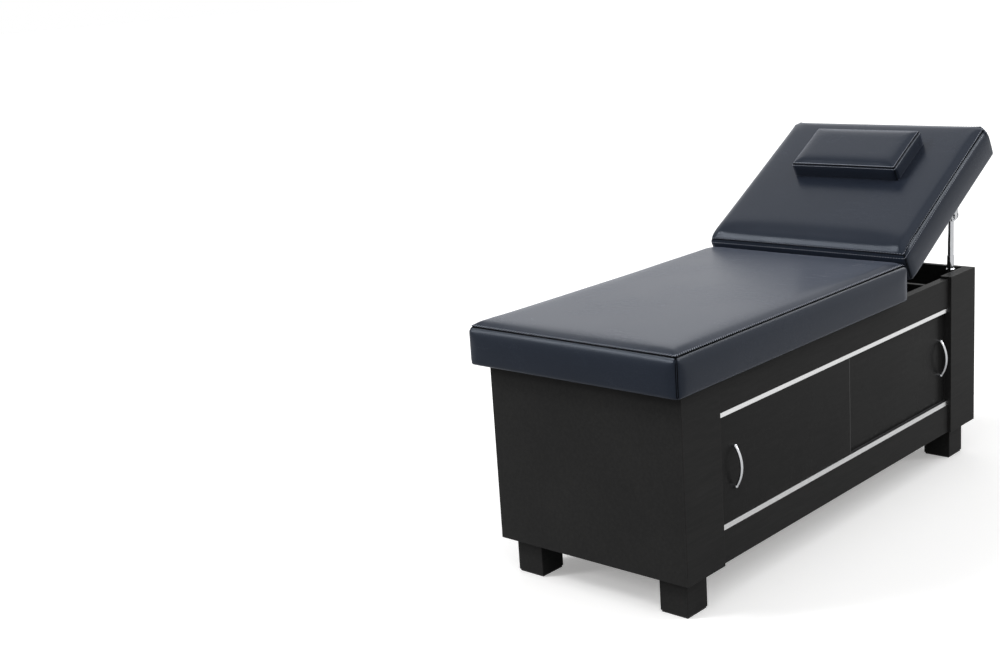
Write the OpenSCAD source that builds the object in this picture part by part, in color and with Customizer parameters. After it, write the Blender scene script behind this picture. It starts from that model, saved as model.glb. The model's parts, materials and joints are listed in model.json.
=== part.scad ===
// Spa bed on a cabinet base, in millimetres.
// +X runs from the foot end to the head end, the sliding doors face -Y, +Z is up.
// The origin is on the floor under the middle of the bed at rest, backrest raised.
// near_ names are on the door side (-Y), far_ names are on the back (+Y).

/* [Cabinet] */
// Length of the cabinet, foot face to head face
cabinet_length = 1640; // [1500:1:1800]
// Width of the cabinet over the posts
cabinet_width = 642; // [560:1:760]
// Height of the post tops above the floor
cabinet_top = 624; // [560:1:720]
// Thickness of the end panels, floor, divider and bearers
board = 18; // [12:0.5:25]
// Length of each post face along the cabinet
post_length = 170; // [100:1:240]
// Thickness of each post
post_thick = 38; // [28:1:60]
// How far the rails and the back panel stand behind the post faces
rail_recess = 10; // [2:0.5:20]
// How far the rail tops lie under the post tops
rail_drop = 7; // [2:0.5:20]
// Height of the front top rail
top_rail_height = 94; // [60:1:140]
// Height of the front bottom rail
bottom_rail_height = 93.5; // [60:0.5:140]
// Clear length of the compartment at the head end
compartment_length = 247; // [160:1:350]
// Distance from the foot face to the middle bearer under the mattress
middle_bearer_x = 520; // [300:1:800]
// Distance from the bearer that carries the hinges to the hinge pins
hinge_bearer_gap = 37; // [25:1:60]
// Height of the bearers
bearer_height = 80; // [50:1:120]

/* [Legs] */
// Height of the leg blocks and their glides together
leg_height = 107; // [80:1:160]
// Side of each square leg block
leg_side = 89; // [60:1:120]
// Inset of the legs from the end faces
leg_inset_x = 33; // [10:1:60]
// Inset of the legs from the side faces
leg_inset_y = 28; // [10:1:60]
// Thickness of each glide under its leg
glide_thick = 5; // [2:0.5:8]
// Inset of each glide from the edges of its leg
glide_inset = 3; // [1:0.5:10]
// Radius of the shank of a leg screw
leg_screw_r = 3; // [2:0.1:4]
// Radius of the head of a leg screw
leg_screw_head_r = 6; // [4:0.1:8]
// Thickness of the head of a leg screw
leg_screw_head = 4; // [2:0.1:6]
// Depth of wood under the floor board that the head of a leg screw bears on
leg_screw_seat = 40; // [20:1:60]
// Depth that a leg screw bites into the floor board
leg_screw_bite = 12; // [6:0.5:16]
// Distance of the leg screws from the middle of their leg
leg_screw_offset = 22; // [12:0.5:30]

/* [Door tracks and doors] */
// Height of the upper track
upper_track_height = 12.5; // [8:0.5:20]
// Height of the lower track
lower_track_height = 14.5; // [8:0.5:20]
// Thickness of the web of each track
track_web = 3; // [2:0.5:5]
// Thickness of the walls of each track
track_wall = 2; // [1:0.5:3]
// Width of each groove of the tracks
groove = 9; // [7:0.5:12]
// Thickness of the doors
door_thick = 8; // [5:0.5:10]
// How far the shut doors pass each other
door_overlap = 60; // [30:1:120]
// Gap between the end of a shut door and its post
door_end_gap = 1; // [0.5:0.1:3]
// Gap between a door and the web of the lower track
door_foot_gap = 0.3; // [0.1:0.1:1]
// Gap between a door and the web of the upper track
door_head_gap = 1.5; // [1:0.1:4]

/* [Door handles] */
// Distance from the foot end of its door to the handle at the foot side
foot_handle_inset = 69; // [25:1:200]
// Distance from the head end of its door to the handle at the head side
head_handle_inset = 36; // [25:1:200]
// Height of the middle of the handles over the middle of the doors
handle_rise = 2.85; // [-40:0.05:40]
// Distance between the two feet of a handle
handle_pitch = 112; // [80:1:160]
// Rise of the bow of a handle over its feet
handle_bow = 18; // [10:0.5:30]
// Radius of the bar of a handle
handle_bar_r = 4.5; // [3:0.1:8]
// Radius of the feet of a handle
handle_foot_r = 5.5; // [4:0.1:10]
// Length of the feet of a handle
handle_foot = 7; // [4:0.5:15]
// Radius of the shank of a handle screw
handle_screw_r = 2; // [1.5:0.1:3]
// Radius of the countersunk head of a handle screw
handle_screw_head_r = 4; // [3:0.1:6]
// Depth of the countersunk head of a handle screw
handle_screw_head = 2.5; // [1.5:0.1:3]
// Depth that a handle screw bites into the foot of its handle
handle_screw_bite = 5; // [3:0.5:7]

/* [Mattress] */
// Distance that the mattress overhangs the foot face of the cabinet
foot_overhang = 50; // [20:1:90]
// Distance that the upholstery overhangs each side of the cabinet
side_overhang = 29; // [10:1:60]
// Distance from the head face of the cabinet back to the fold end of the mattress
fold_from_head = 510; // [440:1:590]
// Height of the boxing of the mattress, underside to seam
mattress_height = 108; // [80:1:140]
// Rise of the crowned top over the seams
crown = 12; // [4:0.5:25]
// Thickness of the boards in the upholstery
cushion_board = 15; // [9:0.5:22]
// Inset of these boards from the edges of their cushions
board_inset = 10; // [5:0.5:20]
// Radius of the corners of the cushions in plan
cushion_corner_r = 16; // [8:0.5:40]
// Radius of the rounded top edge at the fold end of the mattress
fold_round = 22; // [16:0.5:30]
// Draw-in of the cushion sides between the corners
draw_in = 2; // [0:0.5:6]

/* [Backrest] */
// Length of the backrest
back_length = 640; // [560:1:720]
// Height of the boxing of the backrest, underside to seam
back_height = 102; // [80:1:140]
// Gap between the mattress and the backrest when it lies flat
fold_gap = 6; // [4:0.5:12]
// Angle of the backrest above level at rest
back_angle = 29; // [0:0.5:32]
// Lowest angle of the backrest, lying flat
back_angle_low = 0; // [0:0.5:10]
// Highest angle of the backrest
back_angle_high = 35; // [30:0.5:35]
// Gap under the backrest board when it lies flat
flat_gap = 0.5; // [0.2:0.1:1]
// Distance of the hinge pins from the fold end of the mattress
pivot_back = 90; // [80:1:100]
// Height of the hinge pins over the underside of the mattress
pivot_rise = 62; // [56:1:66]

/* [Pillow] */
// Distance of the pillow from the fold end of the backrest
pillow_from_fold = 326; // [250:1:380]
// Length of the pillow along the backrest
pillow_length = 197; // [150:1:240]
// Width of the pillow across the backrest
pillow_width = 361; // [280:1:420]
// Height of the boxing of the pillow, underside to seam
pillow_height = 47; // [30:1:70]
// Rise of the crowned top of the pillow over its seams
pillow_crown = 9; // [4:0.5:20]
// Radius of the corners of the pillow in plan
pillow_corner_r = 12; // [6:0.5:30]

/* [Hinges] */
// Distance of the plates of the hinge arms from the posts
hinge_inset = 31; // [25:1:60]
// Thickness of the hinge plates
hinge_plate = 5; // [3:0.5:8]
// Gap between a hinge bracket and its arm
hinge_side_gap = 0.5; // [0.3:0.1:1]
// Radius of the eyes of the hinge brackets and arms
hinge_eye_r = 13; // [11:0.5:16]
// Radius of the hinge pins
hinge_pin_r = 6; // [4:0.1:8]
// Radius of the heads of the hinge pins
hinge_pin_head_r = 9; // [7:0.1:12]
// Thickness of the heads of the hinge pins
hinge_pin_head = 3; // [2:0.1:4]
// Width of the flange of a hinge bracket and of a hinge arm
hinge_flange_width = 34; // [25:1:45]
// Thickness of the flanges of brackets and arms
flange = 3; // [2:0.5:5]
// Width of the leg of a hinge arm
arm_width = 24; // [18:1:30]
// Depth of the bar of a hinge arm under the backrest
arm_depth = 18; // [12:1:25]
// Length of the flange of a hinge arm under the backrest board
arm_flange_length = 130; // [80:1:180]
// Free width round the hinge plates in the mattress and its board
hinge_slot_gap = 3; // [2:0.5:5]
// Free height over the eyes in the mattress
hinge_slot_head = 3; // [2:0.5:6]

/* [Stays] */
// Distance from the head face to the stays
stay_from_head = 54; // [50:1:80]
// Distance of the stays from the posts
stay_inset = 21; // [19:1:40]
// Drop of the top pins under the post tops when the backrest lies flat
stay_pin_drop = 112.454; // [105:0.001:125]
// Rise of the top pin for each radian that the backrest turns
stay_rate = 562; // [555:1:570]
// Share of this rise that the sleeves take
sleeve_share = 0.604; // [0.55:0.001:0.65]
// Outer radius of the fixed tubes
tube_r = 14.5; // [13.5:0.1:16]
// Drop of the tops of the fixed tubes under the post tops
tube_drop = 177; // [170:1:220]
// Outer radius of the sleeves
sleeve_r = 11.5; // [10:0.1:13]
// Length of the sleeves over the undersides of their collars
sleeve_head = 47; // [35:1:47]
// Length of the sleeves
sleeve_length = 308; // [250:1:320]
// Radius of the stop collars on the sleeves
collar_r = 14; // [12.5:0.1:15]
// Height of the stop collars
collar_height = 6; // [4:0.5:10]
// Gap between the stop collars and the fixed tubes when the backrest lies flat
collar_gap = 2.19; // [0.5:0.01:10]
// Radius of the rods
rod_r = 9.7; // [8:0.1:11]
// Length of the rods up to the top pins
rod_length = 256; // [200:1:270]
// Radius of the eyes of the rods
rod_eye_r = 12; // [9:0.5:14]
// Width of the eyes of the rods
rod_eye_width = 19.5; // [12:0.5:20]
// Radial gap between sliding tubes
slide_gap = 0.1; // [0.05:0.01:0.1]
// Radial gap between pins and their holes
pin_gap = 0.05; // [0.02:0.01:0.1]
// Radius of the top pins
top_pin_r = 4.5; // [3:0.1:6]
// Radius of the heads of the top pins
top_pin_head_r = 9; // [8:0.1:11]
// Thickness of the heads of the top pins
top_pin_head = 3; // [2:0.1:4]
// Thickness of the slotted plates
stay_plate = 4; // [3:0.5:6]
// Gap between a slotted plate and the eye or the pin head beside it
stay_side_gap = 0.5; // [0.3:0.1:1]
// Half of the free height of the slots round the top pins
slot_r = 6.8; // [6.5:0.1:8]
// Metal round the slots
slot_rim = 4; // [3:0.5:5]
// Length of the flanges of the slotted plates under the backrest board
stay_flange_length = 70; // [50:1:80]
// Width of the flanges of the slotted plates
stay_flange_width = 36; // [25:1:45]
// Thickness of the feet of the fixed tubes
stay_foot = 4; // [3:0.5:6]
// Length of the feet of the fixed tubes
stay_foot_length = 60; // [50:1:62]
// Width of the feet of the fixed tubes
stay_foot_width = 40; // [32:1:42]

/* [Bracket screws] */
// Radius of the shank of a bracket screw
screw_r = 2.5; // [1.5:0.1:3]
// Radius of the head of a bracket screw
screw_head_r = 4.5; // [3.5:0.1:6]
// Thickness of the head of a bracket screw
screw_head = 2.5; // [1.5:0.1:4]
// Depth that a bracket screw bites into its board
screw_bite = 10; // [6:0.5:12]

/* [Hidden] */
round_fine = 48;
round_small = 24;
e = leg_height / 1070; // overrun of cutting solids
half_w = cabinet_width / 2;
pad_half = half_w + side_overhang;
post_in = half_w - post_thick;
rail_face = half_w - rail_recess;
rail_thick = rail_face - post_in;
rail_top = cabinet_top - rail_drop;
rail_x0 = post_length;
rail_x1 = cabinet_length - post_length;
divider_x = cabinet_length - 2 * board - compartment_length;
opening_z0 = leg_height + bottom_rail_height;
opening_z1 = rail_top - top_rail_height;
floor_top = leg_height + board;
fold_x = cabinet_length - fold_from_head;
pivot = [fold_x - pivot_back, cabinet_top + pivot_rise];
hinge_bearer_x = pivot[0] - hinge_bearer_gap - board;
flat_z = cabinet_top + flat_gap;
back_x0 = fold_x + fold_gap;
back_plateau = flat_z + back_height + crown;

// The frame's origin lies under the middle of the bed at rest.
tip = turned([back_x0 + back_length - cushion_corner_r / 16, flat_z + cushion_corner_r / 4],
    back_angle);
frame_shift = (tip[0] - foot_overhang) / 2;

door_z0 = opening_z0 + track_web + door_foot_gap;
door_z1 = opening_z1 - track_web - door_head_gap;
door_length = (rail_x1 - rail_x0 + door_overlap) / 2 - door_end_gap;
foot_handle_x = rail_x0 + door_end_gap + foot_handle_inset;
head_handle_x = rail_x1 - door_end_gap - head_handle_inset;
handle_z = (door_z0 + door_z1) / 2 + handle_rise;
door_slack = (groove - door_thick) / 2;
front_door_y = -rail_face + track_wall + door_slack;
rear_door_y = front_door_y + groove + track_wall;
track_depth = 3 * track_wall + 2 * groove;

// The pins and the sleeves rise in step with the angle of the backrest.
stay_x = cabinet_length - stay_from_head;
stay_y = post_in - stay_inset;
stay_flat = cabinet_top - stay_pin_drop;
stay_top = stay_flat + stay_rate * back_angle * PI / 180;
tube_top = cabinet_top - tube_drop;
collar_z = tube_top + collar_gap + stay_rate * sleeve_share * back_angle * PI / 180;
sleeve_top = collar_z + sleeve_head;
tube_bore = sleeve_r + slide_gap;
sleeve_bore = rod_r + slide_gap;
plate_y1 = stay_y + rod_eye_width / 2 + stay_side_gap;
plate_y2 = plate_y1 + stay_plate;
arm_y1 = post_in - hinge_inset;
arm_y2 = arm_y1 + hinge_plate;
bracket_y1 = arm_y2 + hinge_side_gap;
bracket_y2 = bracket_y1 + hinge_plate;
notch_y1 = arm_y1 - hinge_pin_head - hinge_slot_gap;
notch_y2 = bracket_y2 + hinge_pin_head + hinge_slot_gap;
notch_x = pivot[0] - hinge_eye_r - hinge_slot_gap;
bearer_top = cabinet_top;
arm_bottom = flat_z - flange - arm_depth;

// Shares of the cushion profile: inset from the side, then height over the last seam.
edge_shares = [[0.36, 0.3], [0.68, 0.58], [1.3, 0.83], [2.6, 0.96], [4.6, 1]];
grey = [0.2, 0.21, 0.25];
black = [0.09, 0.09, 0.09];
steel = [0.62, 0.63, 0.65];
silver = [0.82, 0.83, 0.85];

// A point of the bed's side view turned about the hinge pins by an angle.
function turned(p, a) = [
    pivot[0] + (p[0] - pivot[0]) * cos(a) - (p[1] - pivot[1]) * sin(a),
    pivot[1] + (p[0] - pivot[0]) * sin(a) + (p[1] - pivot[1]) * cos(a)];

// Where the top pin lies in the flat backrest when the backrest stands at angle a.
function pin_path(a) =
    turned([stay_x, stay_flat + stay_rate * a * PI / 180], -a);

slot_in = pin_path((back_angle_low + back_angle_high) / 2);
slot_out = (pin_path(back_angle_low) + pin_path(back_angle_high)) / 2;

// Shares of a side at which its points lie.
function steps(n) = [for (i = [1:n - 1]) i / n];

// One ring of a cushion: a rounded rectangle from x0 to x1 and to y on both sides.
// Each point carries the share of the special x1 end in its third place.
function ring(x0, x1, y, r, draw, arc, nx, ny) = concat(
    [for (i = [0:arc]) let (a = -90 + 90 * i / arc)
        [x1 - r + r * cos(a), -y + r + r * sin(a), pow(max(0, cos(a)), 2)]],
    [for (s = steps(ny)) [x1 - draw * 4 * s * (1 - s), (2 * s - 1) * (y - r), 1]],
    [for (i = [0:arc]) let (a = 90 * i / arc)
        [x1 - r + r * cos(a), y - r + r * sin(a), pow(max(0, cos(a)), 2)]],
    [for (s = steps(nx)) [x1 - r - s * (x1 - x0 - 2 * r), y - draw * 4 * s * (1 - s), 0]],
    [for (i = [0:arc]) let (a = 90 + 90 * i / arc)
        [x0 + r + r * cos(a), y - r + r * sin(a), 0]],
    [for (s = steps(ny)) [x0 + draw * 4 * s * (1 - s), (1 - 2 * s) * (y - r), 0]],
    [for (i = [0:arc]) let (a = 180 + 90 * i / arc)
        [x0 + r + r * cos(a), -y + r + r * sin(a), 0]],
    [for (s = steps(nx)) [x0 + r + s * (x1 - x0 - 2 * r), -y + draw * 4 * s * (1 - s), 0]]);

// A crowned cushion with a boxed side. Its top edge at the x1 end may be rounder.
module cushion(x0, x1, y, z, height, rise, corner, end_round, draw) {
    arc = 4;
    nx = 8;
    ny = 6;
    tuck = corner / 4;
    lip = corner / 3;
    roll = 1.6 * corner;
    // each row: inset, height, inset at the x1 end, height at the x1 end
    rows = concat(
        [[tuck, 0, tuck, 0], [tuck / 4, tuck, tuck / 4, tuck], [0, height / 4, 0, height / 4],
         [0, height - 2.4 * lip, 0, height - end_round],
         [lip / 4, height - lip, end_round * 0.14, height - end_round * 0.5],
         [lip, height, end_round * 0.42, height - end_round * 0.19]],
        [for (i = [0:len(edge_shares) - 1]) let (s = edge_shares[i])
            [lip + roll * s[0], height + rise * s[1],
             end_round * 0.42 + max(roll, end_round) * s[0] * 1.1,
             height - end_round * 0.19 * pow(1 - s[1], 2) + rise * s[1]]]);
    rings = [for (r = rows) [for (p = ring(x0 + r[0], x1 - r[2], y - r[0],
        max(corner - r[0], corner / 8), draw, arc, nx, ny))
        [p[0], p[1], z + r[1] + (r[3] - r[1]) * p[2]]]];
    n = len(rings[0]);
    m = len(rings);
    polyhedron(
        points = concat([for (r = rings) each r]),
        faces = concat(
            [[for (i = [0:n - 1]) i]],
            [for (k = [0:m - 2]) for (i = [0:n - 1]) let (j = (i + 1) % n)
                [k * n + i, (k + 1) * n + i, (k + 1) * n + j]],
            [for (k = [0:m - 2]) for (i = [0:n - 1]) let (j = (i + 1) % n)
                [k * n + i, (k + 1) * n + j, k * n + j]],
            [[for (i = [n - 1:-1:0]) (m - 1) * n + i]]));
}

module placed() { translate([-frame_shift, 0, 0]) children(); }

// The backrest and what is on it are drawn lying flat, then turned to rest.
module raised() {
    placed() translate([pivot[0], 0, pivot[1]]) rotate([0, -back_angle, 0])
        translate([-pivot[0], 0, -pivot[1]]) children();
}

module far() { mirror([0, 1, 0]) children(); }

module box(x0, x1, y0, y1, z0, z1) {
    translate([x0, y0, z0]) cube([x1 - x0, y1 - y0, z1 - z0]);
}

// A cylinder along Y from y0 to y1 round the point p of the side view.
module along_y(p, y0, y1, r, n = round_fine) {
    translate([p[0], y1, p[1]]) rotate([90, 0, 0]) cylinder(h = y1 - y0, r = r, $fn = n);
}

// A plate with the side view shape, from y0 to y1.
module plate(y0, y1, shape) {
    translate([0, y1, 0]) rotate([90, 0, 0]) linear_extrude(y1 - y0) polygon(shape);
}

// A screw that stands up from z into a board over a flange, with its head below.
module up_screw(x, y, z) {
    translate([x, y, z - screw_head]) cylinder(h = screw_head, r = screw_head_r, $fn = round_small);
    translate([x, y, z]) cylinder(h = flange + screw_bite, r = screw_r, $fn = round_small);
}

module up_hole(x, y, z, depth) {
    translate([x, y, z - e]) cylinder(h = depth + e, r = screw_r + pin_gap, $fn = round_small);
}

// Cabinet boards

module end_panel(x) { box(x, x + board, -half_w, half_w, leg_height, cabinet_top); }

module foot_end_panel() { color(black) placed() end_panel(0); }

module head_end_panel() { color(black) placed() end_panel(cabinet_length - board); }

module post(x0) {
    box(x0, x0 + post_length - board, -half_w, -post_in, leg_height, cabinet_top);
}

module near_foot_post() { color(black) placed() post(board); }

module near_head_post() { color(black) placed() post(rail_x1); }

module far_foot_post() { color(black) placed() far() post(board); }

module far_head_post() { color(black) placed() far() post(rail_x1); }

module front_top_rail() {
    color(black) placed() box(rail_x0, rail_x1, -rail_face, -post_in, opening_z1, rail_top);
}

module front_bottom_rail() {
    color(black) placed() box(rail_x0, rail_x1, -rail_face, -post_in, leg_height, opening_z0);
}

module back_panel() {
    color(black) placed() box(rail_x0, rail_x1, post_in, post_in + board, leg_height, rail_top);
}

module floor_board() {
    color(black) placed() difference() {
        box(board, cabinet_length - board, -post_in, post_in, leg_height, floor_top);
        for (p = leg_screw_points())
            translate([p[0], p[1], leg_height - e])
                cylinder(h = leg_screw_bite + 2 * e, r = leg_screw_r + pin_gap, $fn = round_small);
        for (p = foot_screw_points()) translate([p[0], p[1], floor_top - screw_bite])
            cylinder(h = screw_bite + e, r = screw_r + pin_gap, $fn = round_small);
    }
}

module compartment_divider() {
    color(black) placed()
        box(divider_x, divider_x + board, -post_in, post_in, floor_top, rail_top);
}

module bearer(x) {
    box(x, x + board, -post_in, post_in, bearer_top - bearer_height, bearer_top);
}

module middle_bearer() { color(black) placed() bearer(middle_bearer_x); }

module hinge_bearer() {
    color(black) placed() difference() {
        bearer(hinge_bearer_x);
        for (s = [-1, 1]) for (z = bearer_screw_heights())
            translate([hinge_bearer_x + board - screw_bite, s * bearer_screw_y(), z])
                rotate([0, 90, 0])
                    cylinder(h = screw_bite + e, r = screw_r + pin_gap, $fn = round_small);
    }
}

// Legs

leg_x = [leg_inset_x, cabinet_length - leg_inset_x - leg_side];
leg_y = half_w - leg_inset_y - leg_side;

function leg_middles() = [for (x = leg_x) for (s = [-1, 1])
    [x + leg_side / 2, s * (leg_y + leg_side / 2)]];
function leg_screw_points() = [for (m = leg_middles()) for (s = [-1, 1])
    [m[0] + s * leg_screw_offset, m[1] - sign(m[1]) * leg_screw_offset / 2]];

module leg(x) {
    head_z = leg_height - leg_screw_seat;
    difference() {
        box(x, x + leg_side, -leg_y - leg_side, -leg_y, glide_thick, leg_height);
        for (s = [-1, 1])
            translate([x + leg_side / 2 + s * leg_screw_offset,
                       -leg_y - leg_side / 2 + leg_screw_offset / 2, 0]) {
                cylinder(h = leg_height + e, r = leg_screw_r + pin_gap, $fn = round_small);
                cylinder(h = head_z, r = leg_screw_head_r + slide_gap, $fn = round_small);
            }
    }
}

module near_foot_leg() { color(black) placed() leg(leg_x[0]); }

module near_head_leg() { color(black) placed() leg(leg_x[1]); }

module far_foot_leg() { color(black) placed() far() leg(leg_x[0]); }

module far_head_leg() { color(black) placed() far() leg(leg_x[1]); }

module leg_glides() {
    reach = leg_side / 2 - glide_inset;
    color(black) placed() for (m = leg_middles())
        box(m[0] - reach, m[0] + reach, m[1] - reach, m[1] + reach, 0, glide_thick);
}

module leg_screws() {
    color(steel) placed() for (p = leg_screw_points())
        translate([p[0], p[1], leg_height - leg_screw_seat - leg_screw_head]) {
            cylinder(h = leg_screw_head, r = leg_screw_head_r, $fn = round_small);
            cylinder(h = leg_screw_head + leg_screw_seat + leg_screw_bite, r = leg_screw_r,
                $fn = round_small);
        }
}

// Door tracks and doors

module track(z0, z1, web_z0, web_z1) {
    box(rail_x0, rail_x1, -rail_face, -rail_face + track_depth, web_z0, web_z1);
    for (i = [0:2]) let (y = -rail_face + i * (track_wall + groove))
        box(rail_x0, rail_x1, y, y + track_wall, z0, z1);
}

module upper_door_track() {
    color(silver) placed() union()
        track(opening_z1 - upper_track_height, opening_z1, opening_z1 - track_web, opening_z1);
}

module lower_door_track() {
    color(silver) placed() union()
        track(opening_z0, opening_z0 + lower_track_height, opening_z0, opening_z0 + track_web);
}

function handle_feet() = [handle_z - handle_pitch / 2, handle_z + handle_pitch / 2];

module door(x0, y0, hx) {
    difference() {
        box(x0, x0 + door_length, y0, y0 + door_thick, door_z0, door_z1);
        for (z = handle_feet()) handle_screw(hx, y0, z, pin_gap);
    }
}

// A countersunk screw through a door from behind, grown by gap for its hole.
module handle_screw(hx, y0, z, gap) {
    back = y0 + door_thick;
    translate([hx, back, z]) rotate([90, 0, 0]) {
        translate([0, 0, -gap]) cylinder(h = handle_screw_head + gap,
            r1 = handle_screw_head_r + gap, r2 = handle_screw_r + gap, $fn = round_small);
        translate([0, 0, handle_screw_head - gap])
            cylinder(h = door_thick - handle_screw_head + handle_screw_bite + 2 * gap,
                r = handle_screw_r + gap, $fn = round_small);
    }
}

module foot_side_door() {
    color(black) placed() door(rail_x0 + door_end_gap, front_door_y, foot_handle_x);
}

module head_side_door() {
    color(black) placed()
        door(rail_x1 - door_end_gap - door_length, rear_door_y, head_handle_x);
}

// A bow handle on the face at y0: two feet, and a bar bent to an arc between them.
module handle(hx, y0) {
    arc_r = (pow(handle_pitch / 2, 2) + pow(handle_bow, 2)) / (2 * handle_bow);
    half_arc = asin(handle_pitch / 2 / arc_r);
    difference() {
        union() {
            for (z = handle_feet()) {
                along_y([hx, z], y0 - handle_foot, y0, handle_foot_r, round_small);
                translate([hx, y0 - handle_foot, z]) sphere(r = handle_foot_r, $fn = round_small);
            }
            translate([hx, y0 - handle_foot - handle_bow + arc_r, handle_z])
                rotate([0, 90, 0]) rotate([0, 0, 180 + 90 - half_arc])
                    rotate_extrude(angle = 2 * half_arc, $fn = 4 * round_fine)
                        translate([arc_r, 0]) circle(r = handle_bar_r, $fn = round_small);
        }
        for (z = handle_feet()) handle_screw(hx, y0, z, pin_gap);
    }
}

module foot_side_handle() { color(silver) placed() handle(foot_handle_x, front_door_y); }

module head_side_handle() { color(silver) placed() handle(head_handle_x, rear_door_y); }

module foot_side_handle_screws() {
    color(steel) placed() for (z = handle_feet())
        handle_screw(foot_handle_x, front_door_y, z, 0);
}

module head_side_handle_screws() {
    color(steel) placed() for (z = handle_feet())
        handle_screw(head_handle_x, rear_door_y, z, 0);
}

// Mattress

module hinge_notches(z0, z1, x1) {
    for (s = [0, 1]) mirror([0, s, 0]) box(notch_x, x1, -notch_y2, -notch_y1, z0, z1);
}

module mattress_board() {
    color(black) placed() difference() {
        box(board_inset - foot_overhang, fold_x - board_inset,
            board_inset - pad_half, pad_half - board_inset, cabinet_top,
            cabinet_top + cushion_board);
        hinge_notches(cabinet_top - e, cabinet_top + cushion_board + e, fold_x);
    }
}

module mattress_cushion() {
    g = 3 * slide_gap;
    color(grey) placed() difference() {
        cushion(-foot_overhang, fold_x, pad_half, cabinet_top, mattress_height, crown,
            cushion_corner_r, fold_round, draw_in);
        box(board_inset - foot_overhang - g, fold_x - board_inset + g,
            board_inset - pad_half - g, pad_half - board_inset + g, cabinet_top - e,
            cabinet_top + cushion_board);
        hinge_notches(cabinet_top - e, pivot[1] + hinge_eye_r + hinge_slot_head,
            fold_x + cushion_corner_r);
    }
}

// Backrest

module backrest_board() {
    color(black) raised() difference() {
        box(back_x0 + board_inset, back_x0 + back_length - board_inset,
            board_inset - pad_half, pad_half - board_inset, flat_z, flat_z + cushion_board);
        for (s = [-1, 1]) {
            for (x = arm_screw_x()) up_hole(x, s * arm_screw_y(), flat_z, screw_bite);
            for (x = plate_screw_x()) up_hole(x, s * plate_screw_y(), flat_z, screw_bite);
        }
    }
}

module backrest_cushion() {
    g = 3 * slide_gap;
    color(grey) raised() difference() {
        cushion(back_x0, back_x0 + back_length, pad_half, flat_z, back_height, crown,
            cushion_corner_r, cushion_corner_r / 2, draw_in);
        box(back_x0 + board_inset - g, back_x0 + back_length - board_inset + g,
            board_inset - pad_half - g, pad_half - board_inset + g, flat_z - e,
            flat_z + cushion_board);
    }
}

module pillow() {
    x0 = back_x0 + pillow_from_fold;
    color(grey) raised()
        cushion(x0, x0 + pillow_length, pillow_width / 2, back_plateau, pillow_height,
            pillow_crown, pillow_corner_r, pillow_corner_r / 2, draw_in);
}

// Hinges

function bearer_screw_y() = bracket_y1 - hinge_flange_width / 2;
function bearer_screw_heights() = [bearer_top - bearer_height * 0.8, bearer_top - bearer_height * 0.4];

// The bracket stands on the head face of its bearer and holds the pin.
module hinge_bracket() {
    x0 = hinge_bearer_x + board;
    z0 = bearer_top - bearer_height;
    z1 = bearer_top - board_inset;
    difference() {
        union() {
            plate(-bracket_y2, -bracket_y1, [[x0, z0], [x0 + flange, z0],
                [pivot[0] + hinge_eye_r, z0 + bearer_height * 0.4],
                [pivot[0] + hinge_eye_r, pivot[1]], [pivot[0] - hinge_eye_r, pivot[1]],
                [notch_x + hinge_slot_gap, cabinet_top - hinge_slot_gap], [x0, z1]]);
            along_y(pivot, -bracket_y2, -bracket_y1, hinge_eye_r);
            box(x0, x0 + flange, -bracket_y2, -bracket_y1 + hinge_flange_width, z0, z1);
        }
        along_y(pivot, -bracket_y2 - e, -bracket_y1 + e, hinge_pin_r + pin_gap);
        for (z = bearer_screw_heights()) translate([x0 - e, -bearer_screw_y(), z])
            rotate([0, 90, 0])
                cylinder(h = flange + 2 * e, r = screw_r + pin_gap, $fn = round_small);
    }
}

module near_hinge_bracket() { color(steel) placed() hinge_bracket(); }

module far_hinge_bracket() { color(steel) placed() far() hinge_bracket(); }

module hinge_bracket_screws() {
    x1 = hinge_bearer_x + board + flange;
    color(steel) placed() for (s = [-1, 1]) for (z = bearer_screw_heights())
        translate([x1, s * bearer_screw_y(), z]) rotate([0, -90, 0]) {
            cylinder(h = flange + screw_bite, r = screw_r, $fn = round_small);
            translate([0, 0, -screw_head])
                cylinder(h = screw_head, r = screw_head_r, $fn = round_small);
        }
}

module hinge_pin() {
    along_y(pivot, -bracket_y2, -arm_y1, hinge_pin_r);
    along_y(pivot, -bracket_y2 - hinge_pin_head, -bracket_y2, hinge_pin_head_r);
    along_y(pivot, -arm_y1, -arm_y1 + hinge_pin_head, hinge_pin_head_r);
}

module near_hinge_pin() { color(silver) placed() hinge_pin(); }

module far_hinge_pin() { color(silver) placed() far() hinge_pin(); }

arm_flange_x0 = back_x0 + board_inset;
function arm_screw_x() = [arm_flange_x0 + arm_flange_length * 0.2,
    arm_flange_x0 + arm_flange_length * 0.8];
function arm_screw_y() = arm_y1 - hinge_flange_width / 2 + hinge_plate / 2;

// The arm hangs from the pin, passes under the fold and is screwed under the board.
module backrest_arm() {
    x1 = arm_flange_x0 + arm_flange_length;
    left = pivot[0] - arm_width / 2;
    right = pivot[0] + arm_width / 2;
    bar_top = flat_z - flange;
    difference() {
        union() {
            plate(-arm_y2, -arm_y1, [[left, pivot[1]], [left, arm_bottom + arm_depth / 2],
                [left + arm_depth / 2, arm_bottom], [x1 - arm_depth, arm_bottom],
                [x1, bar_top], [right + arm_depth / 2, bar_top],
                [right, bar_top + arm_depth / 2], [right, pivot[1]]]);
            along_y(pivot, -arm_y2, -arm_y1, hinge_eye_r);
            box(arm_flange_x0, x1, -arm_y2, -arm_y2 + hinge_flange_width, bar_top, flat_z);
        }
        along_y(pivot, -arm_y2 - e, -arm_y1 + e, hinge_pin_r + pin_gap);
        for (x = arm_screw_x()) up_hole(x, -arm_screw_y(), bar_top, flange + e);
    }
}

module near_backrest_arm() { color(steel) raised() backrest_arm(); }

module far_backrest_arm() { color(steel) raised() far() backrest_arm(); }

module backrest_arm_screws() {
    color(steel) raised() for (s = [-1, 1]) for (x = arm_screw_x())
        up_screw(x, s * arm_screw_y(), flat_z - flange);
}

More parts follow.
